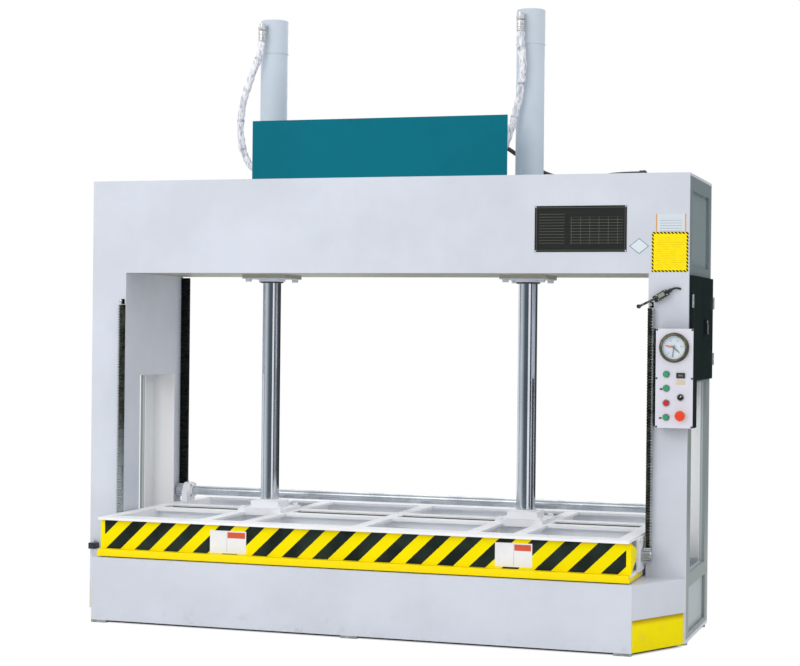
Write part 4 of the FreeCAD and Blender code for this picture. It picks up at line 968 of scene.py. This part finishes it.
for k in range(6):
    angle = math.radians(225 - 54 * k)
    marks.append(words(str(5 * k), 0.0095, (centre_x + 0.032 * math.cos(angle), dial_y - 0.0001,
                                            centre_z + 0.032 * math.sin(angle)), "figure", ink))
joined(marks, "dial_marks", ink)


def pointer(length, tail, width, angle, depth):
    """A tapered needle that turns about the dial's middle."""
    needle = block((-tail, -0.0005, -width / 2), (length, 0.0, width / 2), 0.0001, 1)
    edit(needle, "FACE", lambda f: f.normal.x > 0.9,
         (bpy.ops.transform.resize, {"value": (1, 1, 0.2), "center_override": (length, 0, 0)}))
    needle.data.transform(Matrix.Translation((centre_x, depth, centre_z))
                          @ Matrix.Rotation(math.radians(-angle), 4, "Y"))
    return needle


signal_red = moulded("pointer_red", "dial_face", (214, 46, 40), (226, 70, 58))
red_flag = block((-0.026, -0.0005, 0.0005), (-0.004, 0.0, 0.0085), 0.0015, 2)
red_flag.data.transform(Matrix.Translation((centre_x, -0.4480, centre_z)))
joined([pointer(0.036, 0.004, 0.0045, 165, -0.4475), red_flag], "red_pointers", signal_red)
hub = moved(turned([(0.0, 0.0055), (0.003, 0.0055), (0.0035, 0.005), (0.0035, 0.0015)], 20),
            (centre_x, -0.4475, centre_z), (0, -1, 0))
joined([pointer(0.040, 0.012, 0.0035, 262, -0.4490), pointer(0.028, 0.006, 0.005, 318, -0.4498), hub],
       "black_pointers", ink)
glass = Finish("gauge_glass", "dial_face", (240, 248, 252), 0.03, Alpha=0.10, IOR=1.45)
glass.set(Roughness=glass.noise(20.0) * 0.03 + 0.02)
repeated("gauge_glass", turned([(0.0, 0.0498), (0.0015, 0.0498), (0.0018, 0.0490)], 48),
         [((centre_x, -0.4535, centre_z), (0, -1, 0))], glass)
lugs = turned([(0.0, 0.0052), (0.004, 0.0052), (0.005, 0.0045), (0.005, 0.0025), (0.0035, 0.002)], 6)
repeated("gauge_screws", lugs, [((centre_x + 0.0605 * math.cos(a), -0.4455 + 0.0005,
                                  centre_z + 0.0605 * math.sin(a)), (0, -1, 0))
                                for a in (math.radians(30 + 60 * k) for k in range(6))], olive)
bezel_ring = turned([(0.0, 0.0502), (0.0, 0.0562), (0.0015, 0.0575), (0.0040, 0.0575),
                     (0.0054, 0.0560), (0.0058, 0.0540), (0.0042, 0.0515), (0.0015, 0.0502)], 64, True)
repeated("gauge_bezel", bezel_ring, [((centre_x, -0.4537, centre_z), (0, -1, 0))], olive)

# Limit switches
# Cast bodies with a screwed cover, a roller lever on a pin and a rubber boot round the cable.
switch_black = moulded("switch_black", "black_plastic", (30, 34, 36), (50, 56, 58))
switch_black.paint("limit_switches")
arm_steel = Finish("lever_steel", "zinc_fitting", (92, 94, 92), 0.4, Metallic=0.8)
arm_steel.set(Base_Color=arm_steel.mix(arm_steel.noise(50.0).step(0.4, 0.6), (56, 58, 58), (132, 134, 130)))
arm_steel.paint("limit_switch_lever")
tilt = math.radians(31.0)
switch_place = Matrix.Translation((1.312, -0.3585, 1.519)) @ Matrix.Rotation(-tilt, 4, "Y")
cover = block((-0.017, -0.0028, -0.0125), (0.031, 0.0002, 0.0125), 0.0012, 2)
cover.data.transform(switch_place)
settle(cover, "switch_cover", switch_black)
tag = moulded("switch_tag", "black_plastic", (126, 138, 116), (150, 160, 138))
sticker = block((-0.010, -0.0034, -0.0085), (0.020, -0.0022, 0.0085), 0.0003, 1)
sticker.data.transform(switch_place)
settle(sticker, "switch_label", tag)
screws = []
for x in (-0.0145, 0.0285):
    for z in (-0.0100, 0.0100):
        spot = switch_place @ Vector((x, -0.0028, z))
        screws.append((spot, (0, -1, 0)))
repeated("switch_screws", pan_screw(0.0028), screws, zinc)
boot_points = [Vector(p) for p in ((1.3545, -0.3415, 1.5445), (1.3615, -0.3415, 1.5487),
                                   (1.3700, -0.3410, 1.5520), (1.3780, -0.3400, 1.5530),
                                   (1.3850, -0.3370, 1.5525), (1.3905, -0.3320, 1.5512),
                                   (1.3935, -0.3240, 1.5500))]
boot = sleeve(finer(boot_points, 0.0015), [0.0058 - 0.0016 * min(1.0, i / 12)
                                           + (0.0006 if i % 3 == 0 else 0.0)
                                           for i in range(len(finer(boot_points, 0.0015)))], 14)
settle(boot, "switch_cable_boot", rubber)
low_cap = turned([(0.0, 0.010), (0.010, 0.010), (0.012, 0.008), (0.012, 0.003)], 20)
repeated("lower_switch_button", low_cap, [((-1.402, -0.3425, 0.3255), (0, 0, 1))], zinc)
low_cover = block((-1.4175, -0.3622, 0.3020), (-1.3865, -0.3603, 0.3220), 0.0008, 2)
settle(low_cover, "lower_switch_cover", switch_black)

# Floor and lights
# Pale floor that fades to a white surround close to the base, and soft light from the left front.
# A round studio wall with dark cloths shows only in the chrome and the gloss of the paint.
floor = Finish("floor", "", (240, 240, 240), 0.6)
bpy.ops.object.select_all(action="DESELECT")
bpy.ops.mesh.primitive_plane_add(size=60.0, location=(0.0, 0.0, 0.0))
ground = bpy.context.object
ground.name = "floor"
ground.data.materials.append(floor.material)
seen = floor.node("ShaderNodeLightPath", out="Is Camera Ray")
glossy = floor.node("ShaderNodeLightPath", out="Is Glossy Ray")
corner_cut = abs(floor.x) * 0.879 + abs(floor.y) * 0.477 - 1.39
beside = (abs(floor.x) - 1.40).larger(abs(floor.y) - 0.62).larger(corner_cut)
white = floor.node("ShaderNodeEmission", None, {"Color": (1.0, 1.0, 1.0, 1.0), "Strength": 1.0})
blend = floor.node("ShaderNodeMixShader", None,
                   {0: beside.step(-0.02, 0.03)
                    * (seen + glossy).step(0.0, 1.0),
                    1: Value(floor, floor.shader.outputs[0]), 2: white})
floor.tree.links.new(blend.socket, floor.tree.nodes["Material Output"].inputs["Surface"])

world = bpy.data.worlds.new("surround")
world.use_nodes = True
scene.world = world
tree = world.node_tree
path = tree.nodes.new("ShaderNodeLightPath")
either = tree.nodes.new("ShaderNodeMath")
either.operation = "ADD"
either.use_clamp = True
tree.links.new(path.outputs["Is Camera Ray"], either.inputs[0])
tree.links.new(path.outputs["Is Transmission Ray"], either.inputs[1])
third = tree.nodes.new("ShaderNodeMath")
third.operation = "MAXIMUM"
tree.links.new(either.outputs[0], third.inputs[0])
tree.links.new(path.outputs["Is Glossy Ray"], third.inputs[1])
strength = tree.nodes.new("ShaderNodeMapRange")
strength.inputs["To Min"].default_value = 0.90
strength.inputs["To Max"].default_value = 1.0
tree.links.new(third.outputs[0], strength.inputs["Value"])
tree.links.new(strength.outputs["Result"], tree.nodes["Background"].inputs["Strength"])
tree.nodes["Background"].inputs["Color"].default_value = (1.0, 1.0, 1.0, 1.0)


def soft_light(name, place, target, size, power):
    light = bpy.data.lights.new(name, "AREA")
    light.shape = "RECTANGLE"
    light.size, light.size_y = size
    light.energy = power
    lamp = bpy.data.objects.new(name, light)
    scene.collection.objects.link(lamp)
    lamp.visible_camera = False
    lamp.location = place
    lamp.rotation_euler = (Vector(target) - Vector(place)).to_track_quat("-Z", "Y").to_euler()


soft_light("key", (-2.5, -7.0, 4.0), (0.0, 0.0, 1.2), (5.0, 3.5), 125.0)
soft_light("top", (0.0, 0.5, 6.0), (0.0, 0.0, 1.0), (5.0, 4.0), 60.0)
soft_light("back_fill", (-0.8, 5.2, 3.4), (-0.4, 0.0, 0.5), (3.6, 2.5), 60.0)

wall = Finish("studio_wall", "", (0, 0, 0), 1.0, Specular_IOR_Level=0.0, Emission_Strength=1.0)
bearing = wall.y.sum("ARCTAN2", wall.y, wall.x)
left_pale = bearing.step(math.radians(-150), math.radians(-96))
tone = wall.mix(left_pale, (206, 212, 218), (84, 92, 100))
tone = wall.mix(bearing > math.radians(-61), tone, (246, 246, 252))
tone = wall.mix(bearing > math.radians(-39), tone, (72, 74, 80))
tone = wall.mix(bearing.within(math.radians(-26), math.radians(-12)), tone, (140, 142, 146))
tone = wall.mix(bearing > math.radians(55), tone, (38, 54, 50))
tone = wall.mix(bearing > math.radians(110), tone, (236, 238, 242))
wall.set(Emission_Color=tone)
bpy.ops.object.select_all(action="DESELECT")
bpy.ops.mesh.primitive_cylinder_add(vertices=96, radius=5.0, depth=3.0, end_fill_type="NOTHING",
                                    location=(0.0, 0.0, 1.3))
studio = bpy.context.object
bpy.ops.object.transform_apply(location=True, rotation=True, scale=True)
studio.name = "studio_wall"
studio.data.materials.append(wall.material)
studio.visible_camera = False
studio.visible_diffuse = False
studio.visible_shadow = False
studio.visible_transmission = False
